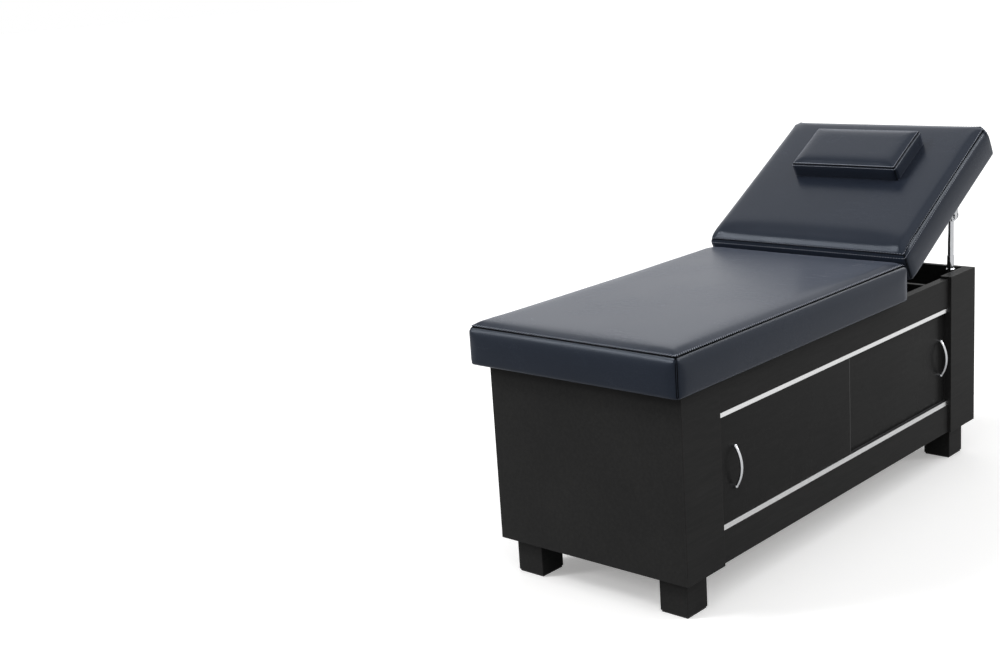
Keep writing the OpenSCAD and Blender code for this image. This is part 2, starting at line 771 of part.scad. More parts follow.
// Stays

function foot_screw_points() = [for (s = [-1, 1]) for (t = [-1, 1])
    [stay_x + t * (stay_foot_length + tube_r * 2) / 4, s * stay_y]];

module stay_tube() {
    difference() {
        union() {
            translate([stay_x, -stay_y, floor_top])
                cylinder(h = tube_top - floor_top, r = tube_r, $fn = round_fine);
            box(stay_x - stay_foot_length / 2, stay_x + stay_foot_length / 2,
                -stay_y - stay_foot_width / 2, -stay_y + stay_foot_width / 2,
                floor_top, floor_top + stay_foot);
        }
        translate([stay_x, -stay_y, floor_top + stay_foot])
            cylinder(h = tube_top - floor_top, r = tube_bore, $fn = round_fine);
        for (p = foot_screw_points()) translate([p[0], p[1], floor_top - e])
            cylinder(h = stay_foot + 2 * e, r = screw_r + pin_gap, $fn = round_small);
    }
}

module near_stay_tube() { color(steel) placed() stay_tube(); }

module far_stay_tube() { color(steel) placed() far() stay_tube(); }

module stay_foot_screws() {
    color(steel) placed() for (p = foot_screw_points())
        translate([p[0], p[1], floor_top + stay_foot]) {
            translate([0, 0, -stay_foot - screw_bite])
                cylinder(h = stay_foot + screw_bite, r = screw_r, $fn = round_small);
            cylinder(h = screw_head, r = screw_head_r, $fn = round_small);
        }
}

// The sleeve slides in its tube. Its collar flares out at the rim of the cabinet.
module stay_sleeve() {
    z0 = sleeve_top - sleeve_length;
    translate([stay_x, -stay_y, 0]) rotate_extrude($fn = round_fine) polygon([
        [sleeve_bore, z0], [sleeve_r, z0], [sleeve_r, collar_z], [collar_r, collar_z],
        [collar_r, collar_z + collar_height / 3], [sleeve_r, collar_z + collar_height],
        [sleeve_r, sleeve_top], [sleeve_bore, sleeve_top]]);
}

module near_stay_sleeve() { color(silver) placed() stay_sleeve(); }

module far_stay_sleeve() { color(silver) placed() far() stay_sleeve(); }

module stay_rod() {
    difference() {
        union() {
            translate([stay_x, -stay_y, stay_top - rod_length])
                cylinder(h = rod_length - rod_eye_r / 2, r = rod_r, $fn = round_fine);
            along_y([stay_x, stay_top], -stay_y - rod_eye_width / 2,
                -stay_y + rod_eye_width / 2, rod_eye_r);
        }
        along_y([stay_x, stay_top], -stay_y - rod_eye_width, -stay_y + rod_eye_width,
            top_pin_r + pin_gap);
    }
}

module near_stay_rod() { color(silver) placed() stay_rod(); }

module far_stay_rod() { color(silver) placed() far() stay_rod(); }

module stay_pin() {
    p = [stay_x, stay_top];
    inner = -stay_y + rod_eye_width / 2;
    head = -plate_y2 - stay_side_gap;
    along_y(p, head, inner, top_pin_r);
    along_y(p, head - top_pin_head, head, top_pin_head_r);
    along_y(p, inner, inner + top_pin_head, top_pin_head_r);
}

module near_stay_pin() { color(steel) placed() stay_pin(); }

module far_stay_pin() { color(steel) placed() far() stay_pin(); }

plate_flange_x0 = slot_in[0] - slot_r - slot_rim;
function plate_screw_x() = [plate_flange_x0 + stay_flange_length * 0.2,
    plate_flange_x0 + stay_flange_length * 0.8];
function plate_screw_y() = plate_y2 - stay_flange_width / 2;

// The plate hangs under the backrest. Its slot takes the swing of the top pin.
module stay_bracket() {
    rim = slot_r + slot_rim;
    along = slot_out - slot_in;
    tilt = atan2(along[1], along[0]);
    across = [-sin(tilt), cos(tilt)];
    low = -1 * across * rim;
    x1 = plate_flange_x0 + stay_flange_length;
    bar = flat_z - flange;
    difference() {
        union() {
            plate(-plate_y2, -plate_y1, [slot_in + low, slot_out + low,
                slot_out + [rim, 0], [x1, bar], [plate_flange_x0, bar],
                slot_in - [rim, 0]]);
            along_y(slot_in, -plate_y2, -plate_y1, rim);
            along_y(slot_out, -plate_y2, -plate_y1, rim);
            box(plate_flange_x0, x1, -plate_y2, -plate_y2 + stay_flange_width, bar, flat_z);
        }
        along_y(slot_in, -plate_y2 - e, -plate_y1 + e, slot_r);
        along_y(slot_out, -plate_y2 - e, -plate_y1 + e, slot_r);
        plate(-plate_y2 - e, -plate_y1 + e, [slot_in - across * slot_r,
            slot_out - across * slot_r, slot_out + across * slot_r,
            slot_in + across * slot_r]);
        for (x = plate_screw_x()) up_hole(x, -plate_screw_y(), bar, flange + e);
    }
}

module near_stay_bracket() { color(steel) raised() stay_bracket(); }

module far_stay_bracket() { color(steel) raised() far() stay_bracket(); }

module stay_bracket_screws() {
    color(steel) raised() for (s = [-1, 1]) for (x = plate_screw_x())
        up_screw(x, s * plate_screw_y(), flat_z - flange);
}

foot_end_panel();
head_end_panel();
near_foot_post();
near_head_post();
far_foot_post();
far_head_post();
front_top_rail();
front_bottom_rail();
back_panel();
floor_board();
compartment_divider();
middle_bearer();
hinge_bearer();
near_foot_leg();
near_head_leg();
far_foot_leg();
far_head_leg();
leg_glides();
leg_screws();
upper_door_track();
lower_door_track();
foot_side_door();
head_side_door();
foot_side_handle();
head_side_handle();
foot_side_handle_screws();
head_side_handle_screws();
mattress_board();
mattress_cushion();
backrest_board();
backrest_cushion();
pillow();
near_hinge_bracket();
far_hinge_bracket();
hinge_bracket_screws();
near_hinge_pin();
far_hinge_pin();
near_backrest_arm();
far_backrest_arm();
backrest_arm_screws();
near_stay_tube();
far_stay_tube();
stay_foot_screws();
near_stay_sleeve();
far_stay_sleeve();
near_stay_rod();
far_stay_rod();
near_stay_pin();
far_stay_pin();
near_stay_bracket();
far_stay_bracket();
stay_bracket_screws();
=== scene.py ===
"""The looks of a padded spa bed on a cabinet base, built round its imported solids.

Lengths are in metres. +X runs from the foot end to the head end, the doors face -Y, +Z is up.
Cushions are modelled lying flat; what is on the backrest is then turned about the hinge pins.
"""

import json
import logging
import math
from dataclasses import dataclass, field
from enum import Enum
from typing import Callable, Iterable, Sequence, Union

import bmesh
import bpy
import numpy as np
from mathutils import Matrix, Vector
from mathutils.bvhtree import BVHTree

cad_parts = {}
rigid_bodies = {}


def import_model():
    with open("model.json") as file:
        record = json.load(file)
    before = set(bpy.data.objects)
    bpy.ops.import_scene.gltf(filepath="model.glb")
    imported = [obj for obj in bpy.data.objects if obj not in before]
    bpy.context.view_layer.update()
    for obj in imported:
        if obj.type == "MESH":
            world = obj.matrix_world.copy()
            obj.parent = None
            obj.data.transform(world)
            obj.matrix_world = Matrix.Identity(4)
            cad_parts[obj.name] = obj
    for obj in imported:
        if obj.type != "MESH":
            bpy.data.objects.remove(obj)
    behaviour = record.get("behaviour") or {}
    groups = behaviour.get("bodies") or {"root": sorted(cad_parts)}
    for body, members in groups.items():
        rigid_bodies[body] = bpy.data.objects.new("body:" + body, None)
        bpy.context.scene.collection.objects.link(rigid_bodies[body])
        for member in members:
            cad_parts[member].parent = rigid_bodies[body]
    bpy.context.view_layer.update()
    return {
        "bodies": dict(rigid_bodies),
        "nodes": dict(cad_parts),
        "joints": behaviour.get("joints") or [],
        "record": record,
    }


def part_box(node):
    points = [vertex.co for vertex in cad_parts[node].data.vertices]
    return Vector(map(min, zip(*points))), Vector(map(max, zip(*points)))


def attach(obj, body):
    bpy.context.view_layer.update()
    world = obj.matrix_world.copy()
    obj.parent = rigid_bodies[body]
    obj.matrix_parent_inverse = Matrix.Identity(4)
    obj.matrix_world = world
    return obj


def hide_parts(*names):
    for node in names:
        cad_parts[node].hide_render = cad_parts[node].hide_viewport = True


LOG = logging.getLogger("spa_bed")
MM = 0.001
CLOSE = MM / 10

Colour = tuple[float, float, float]
Pair = tuple[float, float]


# ------------------------------------------------------------------ shader maths


class Value:
    """A number in a shader, which Python operators combine through Math nodes."""

    def __init__(self, graph: "Graph", socket: bpy.types.NodeSocket) -> None:
        """Wraps a socket of the graph."""
        self.graph = graph
        self.socket = socket

    def _math(self, operation: str, *terms: "Number") -> "Value":
        """Adds one Math node over the terms and returns its result."""
        settings = {"operation": operation}
        node = self.graph.node("ShaderNodeMath", settings, dict(enumerate(terms)))
        return Value(self.graph, node.outputs[0])

    def __add__(self, other: "Number") -> "Value":
        """self + other."""
        return self._math("ADD", self, other)

    __radd__ = __add__

    def __sub__(self, other: "Number") -> "Value":
        """self - other."""
        return self._math("SUBTRACT", self, other)

    def __rsub__(self, other: "Number") -> "Value":
        """other - self."""
        return self._math("SUBTRACT", other, self)

    def __mul__(self, other: "Number") -> "Value":
        """self * other."""
        return self._math("MULTIPLY", self, other)

    __rmul__ = __mul__

    def clamped(self) -> "Value":
        """The value kept between 0 and 1."""
        return self._math("MINIMUM", self._math("MAXIMUM", self, 0.0), 1.0)

    def larger(self, other: "Number") -> "Value":
        """The larger of the two."""
        return self._math("MAXIMUM", self, other)

    def step(self, low: float, high: float) -> "Value":
        """0 below low, 1 above high, and smooth between them."""
        node = self.graph.node(
            "ShaderNodeMapRange",
            {"interpolation_type": "SMOOTHSTEP"},
            {"Value": self, "From Min": low, "From Max": high},
        )
        return Value(self.graph, node.outputs[0])


Number = Union[Value, float]
Input = Union[Value, bpy.types.NodeSocket, float, Sequence[float]]


class Graph:
    """The node tree of a material or a world."""

    def __init__(self, owner: Union[bpy.types.Material, bpy.types.World]) -> None:
        """Empties the owner's node tree and gets ready to fill it."""
        owner.use_nodes = True
        self.tree = owner.node_tree
        self.tree.nodes.clear()

    def node(
        self,
        kind: str,
        settings: dict[str, object] | None = None,
        inputs: dict[str | int, Input] | None = None,
    ) -> bpy.types.Node:
        """Adds a node.

        Args:
            kind: Blender's type name of the node.
            settings: its own settings, set before the sockets.
            inputs: values or links of its sockets, by name, identifier or number.

        Returns:
            The new node.
        """
        made = self.tree.nodes.new(kind)
        for key, value in (settings or {}).items():
            setattr(made, key, value)
        for key, value in (inputs or {}).items():
            self._put(made, key, value)
        return made

    def _put(self, node: bpy.types.Node, key: str | int, value: Input) -> None:
        """Links or sets one input of a node."""
        if isinstance(key, int):
            target = node.inputs[key]
        else:
            target = next(s for s in node.inputs if key in (s.identifier, s.name))
        if isinstance(value, Value):
            value = value.socket
        if isinstance(value, bpy.types.NodeSocket):
            self.tree.links.new(value, target)
        elif isinstance(value, (int, float)):
            target.default_value = value
        else:
            room = len(target.default_value)
            target.default_value = (*value, 1.0)[:room]

    def place(self, scale: Colour = (1.0, 1.0, 1.0)) -> bpy.types.NodeSocket:
        """Object coordinates, stretched by scale."""
        coords = self.node("ShaderNodeTexCoord").outputs["Object"]
        return self.node(
            "ShaderNodeMapping", None, {"Vector": coords, "Scale": scale}
        ).outputs[0]

    def noise(
        self,
        place: bpy.types.NodeSocket,
        scale: float,
        detail: float = 2.0,
        roughness: float = 0.5,
        distortion: float = 0.0,
    ) -> Value:
        """A noise between 0 and 1."""
        inputs = {"Vector": place, "Scale": scale, "Detail": detail}
        inputs |= {"Roughness": roughness, "Distortion": distortion}
        made = self.node("ShaderNodeTexNoise", None, inputs)
        return Value(self, made.outputs["Fac"])

    def cells(
        self, place: bpy.types.NodeSocket, scale: float, feature: str = "F1"
    ) -> Value:
        """The distance inside the cells of a Voronoi pattern."""
        inputs = {"Vector": place, "Scale": scale}
        made = self.node("ShaderNodeTexVoronoi", {"feature": feature}, inputs)
        return Value(self, made.outputs["Distance"])

    def mix(self, mask: Number, low: Input, high: Input) -> bpy.types.NodeSocket:
        """A colour that goes from low to high with the mask."""
        inputs = {"Factor_Float": mask, "A_Color": low, "B_Color": high}
        return self.node("ShaderNodeMix", {"data_type": "RGBA"}, inputs).outputs[2]

    def bump(self, height: Value, strength: float, depth: float) -> bpy.types.NodeSocket:
        """A normal from a height, with the depth in metres."""
        inputs = {"Height": height, "Strength": strength, "Distance": depth}
        return self.node("ShaderNodeBump", None, inputs).outputs[0]


# ------------------------------------------------------------------ finishes


@dataclass(frozen=True)
class Finish:
    """A procedural finish. relief is the strength and the depth of its bump."""

    name: str

    def looks(self, graph: Graph) -> dict[str, Input]:
        """What the finish gives to its Principled BSDF."""
        raise NotImplementedError

    def material(self) -> bpy.types.Material:
        """Builds the material."""
        made = bpy.data.materials.new(self.name)
        graph = Graph(made)
        shader = graph.node("ShaderNodeBsdfPrincipled", None, self.looks(graph))
        graph.node("ShaderNodeOutputMaterial", None, {"Surface": shader.outputs[0]})
        return made


@dataclass(frozen=True)
class Leatherette(Finish):
    """Coated cloth with a fine pebble grain, soft mottling and a low sheen."""

    name: str = "leatherette_grained"
    valley: Colour = (0.0080, 0.0112, 0.0190)
    face: Colour = (0.0175, 0.0232, 0.0365)
    pebble: float = 700.0
    pore: float = 1820.0
    mottle: float = 5.0
    crease: float = 42.0
    relief: Pair = (0.11, 0.22 * MM)
    shine: float = 0.155
    gleam: Colour = (0.78, 0.87, 1.0)
    sheen: Colour = (0.72, 0.80, 1.0)

    def looks(self, graph: Graph) -> dict[str, Input]:
        """Pebbles and pores over a soft mottling and long creases."""
        place = graph.place()
        pebbles = graph.cells(place, self.pebble, "SMOOTH_F1")
        pores = graph.noise(place, self.pore, 3.0, 0.6)
        broad = graph.noise(place, self.mottle, 3.0, 0.55)
        creases = graph.noise(graph.place((1.0, 0.3, 1.0)), self.crease, 4.0, 0.6, 0.8)
        grain = (1.0 - pebbles * 1.3).clamped()
        mask = (grain * 0.55 + broad * 0.45 + creases * 0.15 - 0.1).clamped()
        height = grain * 0.7 + pores * 0.2 + creases * 0.5
        return {
            "Base Color": graph.mix(mask, self.valley, self.face),
            "Roughness": 0.25 - grain * 0.05 + (broad - 0.5) * 0.1 + creases * 0.05,
            "Normal": graph.bump(height, *self.relief),
            "IOR": 1.5,
            "Specular IOR Level": self.shine,
            "Specular Tint": self.gleam,
            "Sheen Weight": 0.28,
            "Sheen Roughness": 0.4,
            "Sheen Tint": self.sheen,
        }


@dataclass(frozen=True)
class SatinBoard(Finish):
    """Black-faced board with a faint long grain, a fine texture and handling marks."""

    name: str = "board_black_satin"
    deep: Colour = (0.0225, 0.0225, 0.0225)
    worn: Colour = (0.0300, 0.0298, 0.0295)
    roughness: float = 0.42
    shine: float = 0.05
    along: Colour = (1.0, 14.0, 14.0)
    streak: float = 9.0
    texture: float = 900.0
    mark: float = 4.0
    relief: Pair = (0.12, 0.2 * MM)

    def looks(self, graph: Graph) -> dict[str, Input]:
        """Streaks along the board, its texture, and marks of hands."""
        streaks = graph.noise(graph.place(self.along), self.streak, 4.0, 0.6)
        place = graph.place()
        texture = graph.noise(place, self.texture, 2.0, 0.6)
        hands = graph.noise(place, self.mark, 3.0, 0.5, 0.4)
        mask = (streaks * 0.6 + hands * 0.4).step(0.3, 0.75)
        return {
            "Base Color": graph.mix(mask, self.deep, self.worn),
            "Roughness": self.roughness + (hands - 0.5) * 0.16 + texture * 0.06,
            "Normal": graph.bump(texture * 0.7 + streaks * 0.5, *self.relief),
            "Specular IOR Level": self.shine,
        }


@dataclass(frozen=True)
class BrushedMetal(Finish):
    """Metal with fine brush lines along X, darkened behind a lip at a given Y by painted shade
    and some dust.
    """

    dark: Colour
    light: Colour
    roughness: float
    lip: float
    lines: Colour = (3.0, 700.0, 700.0)
    cloud: float = 12.0
    shade_and_grime: Colour = (0.045, 0.045, 0.047)
    relief: Pair = (0.08, 0.05 * MM)

    def looks(self, graph: Graph) -> dict[str, Input]:
        """Brush lines and a little unevenness, with painted shade and dust behind the lip."""
        lines = graph.noise(graph.place(self.lines), 1.0, 3.0, 0.6)
        broad = graph.noise(graph.place(), self.cloud, 3.0)
        mask = (lines * 0.7 + broad * 0.3).step(0.3, 0.7)
        metal = graph.mix(mask, self.dark, self.light)
        rough = self.roughness + (lines - 0.5) * 0.14 + broad * 0.06
        # Painted shade with some dust: behind the lip the metal turns dark, dull and less
        # metallic, as in the shaded groove.
        across = graph.node("ShaderNodeSeparateXYZ", None, {"Vector": graph.place()})
        shade_and_dust = Value(graph, across.outputs["Y"]).step(self.lip, self.lip + MM)
        return {
            "Base Color": graph.mix(shade_and_dust, metal, self.shade_and_grime),
            "Metallic": 1.0 - shade_and_dust * 0.8,
            "Roughness": rough + shade_and_dust * 0.4,
            "Normal": graph.bump(lines, *self.relief),
        }


@dataclass(frozen=True)
class BrightPlating(Finish):
    """Bright plated metal with faint finger marks."""

    name: str = "plating_bright"
    clean: Colour = (0.64, 0.65, 0.67)
    dulled: Colour = (0.46, 0.47, 0.49)
    roughness: float = 0.07
    mark: float = 60.0
    fine: float = 600.0
    relief: Pair = (0.03, 0.03 * MM)

    def looks(self, graph: Graph) -> dict[str, Input]:
        """Finger marks and a very fine unevenness."""
        place = graph.place()
        marks = graph.noise(place, self.mark, 4.0, 0.6, 0.5)
        fine = graph.noise(place, self.fine, 2.0)
        mask = marks.step(0.45, 0.8)
        return {
            "Base Color": graph.mix(mask * 0.5, self.clean, self.dulled),
            "Metallic": 1.0,
            "Roughness": self.roughness + mask * 0.12 + fine * 0.03,
            "Normal": graph.bump(fine, *self.relief),
        }


@dataclass(frozen=True)
class ZincPlate(Finish):
    """Zinc-plated steel, cool grey with a small crystal pattern."""

    name: str = "zinc_plated"
    cool: Colour = (0.42, 0.44, 0.47)
    warm: Colour = (0.60, 0.60, 0.58)
    crystal: float = 420.0
    haze: float = 90.0
    relief: Pair = (0.08, 0.05 * MM)

    def looks(self, graph: Graph) -> dict[str, Input]:
        """Crystals under a haze."""
        place = graph.place()
        crystals = graph.cells(place, self.crystal)
        haze = graph.noise(place, self.haze, 3.0)
        mask = (crystals * 0.8 + haze * 0.4).clamped()
        return {
            "Base Color": graph.mix(mask, self.cool, self.warm),
            "Metallic": 1.0,
            "Roughness": 0.28 + haze * 0.16,
            "Normal": graph.bump(crystals, *self.relief),
        }


@dataclass(frozen=True)
class Grain:
    """A pattern of one scale: noise, or cells."""

    scale: float
    detail: float = 2.0
    roughness: float = 0.5
    distortion: float = 0.0
    cells: bool = False

    def value(self, graph: Graph) -> Value:
        """The pattern on Object coordinates."""
        place = graph.place()
        if self.cells:
            return graph.cells(place, self.scale)
        return graph.noise(place, self.scale, self.detail, self.roughness, self.distortion)


@dataclass(frozen=True)
class TwoTone(Finish):
    """Two tones that one grain mixes, over the relief of another.

    steps is where the mix begins and ends; rough is the roughness and what the grain adds.
    """

    low: Colour
    high: Colour
    tones: Grain
    steps: Pair
    rough: Pair
    surface: Grain
    relief: Pair
    shine: float = 0.5

    def looks(self, graph: Graph) -> dict[str, Input]:
        """The mixed tones and the relief."""
        tones = self.tones.value(graph)
        return {
            "Base Color": graph.mix(tones.step(*self.steps), self.low, self.high),
            "Roughness": self.rough[0] + tones * self.rough[1],
            "Normal": graph.bump(self.surface.value(graph), *self.relief),
            "Specular IOR Level": self.shine,
        }


class Palette:
    """Every finish of the bed, made once."""

    def __init__(self) -> None:
        """Makes the materials. The tracks are darkened from just behind their front lip by
        painted shade and some dust.
        """
        self.leatherette = Leatherette().material()
        # Near-black, dull finish laid on the sunk seam channels: painted shade in the seams.
        self.seam_painted_shade = TwoTone(
            "leatherette_seam_painted_shade",
            low=(0.0012, 0.0014, 0.0020),
            high=(0.0045, 0.0052, 0.0070),
            tones=Grain(260.0, 3.0, 0.6),
            steps=(0.35, 0.75),
            rough=(0.75, 0.15),
            surface=Grain(900.0, cells=True),
            relief=(0.2, 0.2 * MM),
            shine=0.05,
        ).material()
        self.board = SatinBoard().material()
        self.door = SatinBoard(
            "door_black_gloss",
            deep=(0.0185, 0.0185, 0.0185),
            worn=(0.0240, 0.0239, 0.0237),
            roughness=0.24,
        ).material()
        self.aluminium = BrushedMetal(
            "aluminium_brushed",
            dark=(0.90, 0.905, 0.91),
            light=(0.98, 0.98, 0.98),
            roughness=0.22,
            lip=float(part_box("lower_door_track")[0].y) + 0.4 * MM,
        ).material()
        self.chrome = BrightPlating().material()
        self.coated = TwoTone(
            "steel_dark_coat",
            low=(0.018, 0.018, 0.019),
            high=(0.036, 0.036, 0.038),
            tones=Grain(24.0, 4.0, 0.65, 0.6),
            steps=(0.4, 0.75),
            rough=(0.36, 0.2),
            surface=Grain(420.0),
            relief=(0.25, 0.15 * MM),
        ).material()
        self.zinc = ZincPlate().material()
        self.plastic = TwoTone(
            "plastic_black",
            low=(0.012, 0.012, 0.012),
            high=(0.028, 0.028, 0.028),
            tones=Grain(30.0, 3.0),
            steps=(0.35, 0.8),
            rough=(0.5, 0.15),
            surface=Grain(1100.0, cells=True),
            relief=(0.2, 0.1 * MM),
        ).material()
        self.thread = TwoTone(
            "thread_grey_blue",
            low=(0.22, 0.24, 0.29),
            high=(0.46, 0.49, 0.56),
            tones=Grain(2200.0),
            steps=(0.35, 0.7),
            rough=(0.45, 0.2),
            surface=Grain(2200.0),
            relief=(0.3, 0.1 * MM),
        ).material()


# ------------------------------------------------------------------ making pieces


def piece(
    bm: bmesh.types.BMesh,
    name: str,
    material: bpy.types.Material,
    smooth: bool = True,
) -> bpy.types.Object:
    """Turns a bmesh into a scene object at the origin.

    Args:
        bm: the shape, freed afterwards.
        name: the name of the piece.
        material: its finish.
        smooth: whether its faces are shaded smooth.

    Returns:
        The new object.
    """
    mesh = bpy.data.meshes.new(name)
    bm.to_mesh(mesh)
    bm.free()
    mesh.materials.append(material)
    mesh.polygons.foreach_set("use_smooth", [smooth] * len(mesh.polygons))
    made = bpy.data.objects.new(name, mesh)
    bpy.context.collection.objects.link(made)
    return made


def bake_modifiers(made: bpy.types.Object) -> None:
    """Puts the result of an object's modifiers into its own mesh."""
    graph = bpy.context.evaluated_depsgraph_get()
    mesh = bpy.data.meshes.new_from_object(made.evaluated_get(graph), depsgraph=graph)
    old = made.data
    made.modifiers.clear()
    made.data = mesh
    mesh.name = old.name
    bpy.data.meshes.remove(old)


def add_box(bm: bmesh.types.BMesh, middle: Vector, size: Vector) -> None:
    """Adds a plain block to a shape."""
    place = Matrix.Translation(middle) @ Matrix.Diagonal((*size, 1.0))
    bmesh.ops.create_cube(bm, size=1.0, matrix=place)


def bevel(
    bm: bmesh.types.BMesh,
    edges: list[bmesh.types.BMEdge],
    offset: float,
    segments: int,
    clamp: bool = False,
) -> dict:
    """Rounds some edges.

    Args:
        bm: the shape.
        edges: what is rounded.
        offset: how far the rounding reaches from an edge.
        segments: faces across the rounding.
        clamp: whether the rounding stops short of its neighbours.

    Returns:
        The new faces, edges and points.
    """
    return bmesh.ops.bevel(
        bm,
        geom=edges,
        offset=offset,
        offset_type="OFFSET",
        affect="EDGES",
        segments=segments,
        profile=0.5,
        material=-1,
        clamp_overlap=clamp,
    )


def dress(frame: dict, nodes: Iterable[str], material: bpy.types.Material) -> None:
    """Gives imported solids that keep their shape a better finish."""
    for node in nodes:
        for place in frame["nodes"][node].material_slots:
            place.material = material
        LOG.info("dressed %s in %s", node, material.name)


# ------------------------------------------------------------------ cabinet


class Side(Enum):
    """A side of a board: its axis, and which end of it."""

    LOW_X = (0, 0)
    HIGH_X = (0, 1)
    LOW_Y = (1, 0)
    HIGH_Y = (1, 1)


@dataclass
class Cabinet:
    """The board cabinet on its block legs."""

    frame: dict
    palette: Palette
    ease: float = 1.0 * MM
    leg_ease: float = 1.6 * MM
    flush: dict[str, tuple[Side, ...]] = field(
        default_factory=lambda: {
            "foot_end_panel": (Side.HIGH_X,),
            "head_end_panel": (Side.LOW_X,),
            "near_foot_post": (Side.LOW_X,),
            "near_head_post": (Side.HIGH_X,),
            "far_foot_post": (Side.LOW_X,),
            "far_head_post": (Side.HIGH_X,),
            "front_top_rail": (Side.LOW_X, Side.HIGH_X),
            "front_bottom_rail": (Side.LOW_X, Side.HIGH_X),
            "back_panel": (Side.LOW_X, Side.HIGH_X),
            "compartment_divider": (Side.LOW_Y, Side.HIGH_Y),
        }
    )
    legs: tuple[str, ...] = (
        "near_foot_leg",
        "near_head_leg",
        "far_foot_leg",
        "far_head_leg",
    )

    def board(self, node: str, square: Sequence[Side], ease: float) -> bpy.types.Object:
        """A board in the space of a node, with eased edges.

        Args:
            node: the solid that the board stands for.
            square: sides that lie flush against a neighbour, whose edges stay square.
            ease: size of the eased edges.

        Returns:
            The board.
        """
        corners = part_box(node)
        low, high = corners

        def flush(edge: bmesh.types.BMEdge, side: Side) -> bool:
            """Whether an edge lies in the plane of a side."""
            axis, end = side.value
            return all(abs(v.co[axis] - corners[end][axis]) < ease / 4 for v in edge.verts)

        bm = bmesh.new()
        add_box(bm, (low + high) / 2, high - low)
        eased = [e for e in bm.edges if not any(flush(e, side) for side in square)]
        bevel(bm, eased, ease, 3)
        bmesh.ops.recalc_face_normals(bm, faces=bm.faces[:])
        made = piece(bm, node + "_board", self.palette.board, smooth=False)
        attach(made, "cabinet")
        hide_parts(node)
        LOG.info("board %s", made.name)
        return made

    def build(self) -> None:
        """Makes the boards and legs, and dresses what stays."""
        for node, square in self.flush.items():
            self.board(node, square, self.ease)
        for node in self.legs:
            self.board(node, (), self.leg_ease)
        hidden = ("floor_board", "middle_bearer", "hinge_bearer", "mattress_board")
        dress(self.frame, hidden, self.palette.board)
        dress(self.frame, ("leg_glides",), self.palette.plastic)
        dress(self.frame, ("leg_screws",), self.palette.zinc)


@dataclass
class SlidingDoors:
    """The two doors, their tracks and bow handles."""

    frame: dict
    palette: Palette
    shadow_strip_width: float = 4.0 * MM
    shadow_strip_depth: float = 0.25 * MM
    track_gap: float = 0.5 * MM

    def overlap_shadow_strip(self) -> None:
        """A thin dark strip down the inner edge of the front door, between the tracks: a
        painted shadow where the doors overlap.
        """
        low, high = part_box("foot_side_door")
        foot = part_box("lower_door_track")[1].z + self.track_gap
        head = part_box("upper_door_track")[0].z - self.track_gap
        size = Vector((self.shadow_strip_width, self.shadow_strip_depth, head - foot))
        bm = bmesh.new()
        middle = Vector((high.x - size.x / 2, low.y - size.y / 2, (foot + head) / 2))
        add_box(bm, middle, size)
        bevel(bm, bm.edges[:], size.y / 3, 2)
        # Dark plastic strip: painted shadow of the front door's edge on the door behind.
        made = piece(bm, "foot_side_door_shadow_strip", self.palette.plastic, smooth=False)
        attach(made, "foot_side_door")
        LOG.info("lipping %s", made.name)

    def build(self) -> None:
        """Puts the painted-shadow strip on the front door's edge and dresses doors, tracks,
        handles and screws.
        """
        self.overlap_shadow_strip()
        doors = ("foot_side_door", "head_side_door")
        handles = ("foot_side_handle", "head_side_handle")
        tracks = ("upper_door_track", "lower_door_track")
        dress(self.frame, doors, self.palette.door)
        dress(self.frame, tracks, self.palette.aluminium)
        dress(self.frame, handles, self.palette.chrome)
        dress(self.frame, [name + "_screws" for name in handles], self.palette.zinc)


@dataclass
class BackrestGear:
    """Hinges and telescopic stays of the backrest."""

    frame: dict
    palette: Palette

    def build(self) -> None:
        """Dresses brackets, arms, tubes, sleeves, rods, pins and screws."""
        screwed = ("hinge_bracket", "backrest_arm", "stay_foot", "stay_bracket")
        pairs = (
            (("hinge_bracket", "backrest_arm", "stay_tube"), self.palette.coated),
            (("stay_sleeve", "stay_rod", "stay_pin", "stay_bracket"), self.palette.chrome),
            (("hinge_pin",), self.palette.zinc),
        )
        for parts, finish in pairs:
            for side in ("near", "far"):
                dress(self.frame, [f"{side}_{part}" for part in parts], finish)
        dress(self.frame, [f"{part}_screws" for part in screwed], self.palette.zinc)
        dress(self.frame, ("backrest_board",), self.palette.board)


# ------------------------------------------------------------------ upholstery


@dataclass(frozen=True)
class Filling:
    """Settings of the cloth simulation that fills a cover."""

    frames: int = 20
    quality: int = 6
    mass: float = 0.25
    stretch: float = 12.0
    shear: float = 4.0
    bend: float = 2.0
    pressure: float = 4.0

    def blow_up(self, made: bpy.types.Object, held: str) -> np.ndarray:
        """Runs the simulation on an object.

        Args:
            made: the cover, without modifiers.
            held: name of the vertex group that stays where it is.

        Returns:
            The places of its points at the end.
        """
        cloth = made.modifiers.new("filling", "CLOTH")
        settings = cloth.settings
        settings.quality = self.quality
        settings.mass = self.mass
        settings.tension_stiffness = settings.compression_stiffness = self.stretch
        settings.shear_stiffness = self.shear
        settings.bending_stiffness = self.bend
        settings.use_pressure = True
        settings.uniform_pressure_force = self.pressure
        settings.vertex_group_mass = held
        settings.effector_weights.gravity = 0
        cloth.collision_settings.use_collision = False
        cloth.point_cache.frame_start = 1
        cloth.point_cache.frame_end = self.frames
        scene = bpy.context.scene
        for frame_number in range(1, self.frames + 1):
            scene.frame_set(frame_number)
        shaped = made.evaluated_get(bpy.context.evaluated_depsgraph_get()).data
        end = np.empty(len(shaped.vertices) * 3)
        shaped.vertices.foreach_get("co", end)
        scene.frame_set(1)
        return end.reshape(-1, 3)


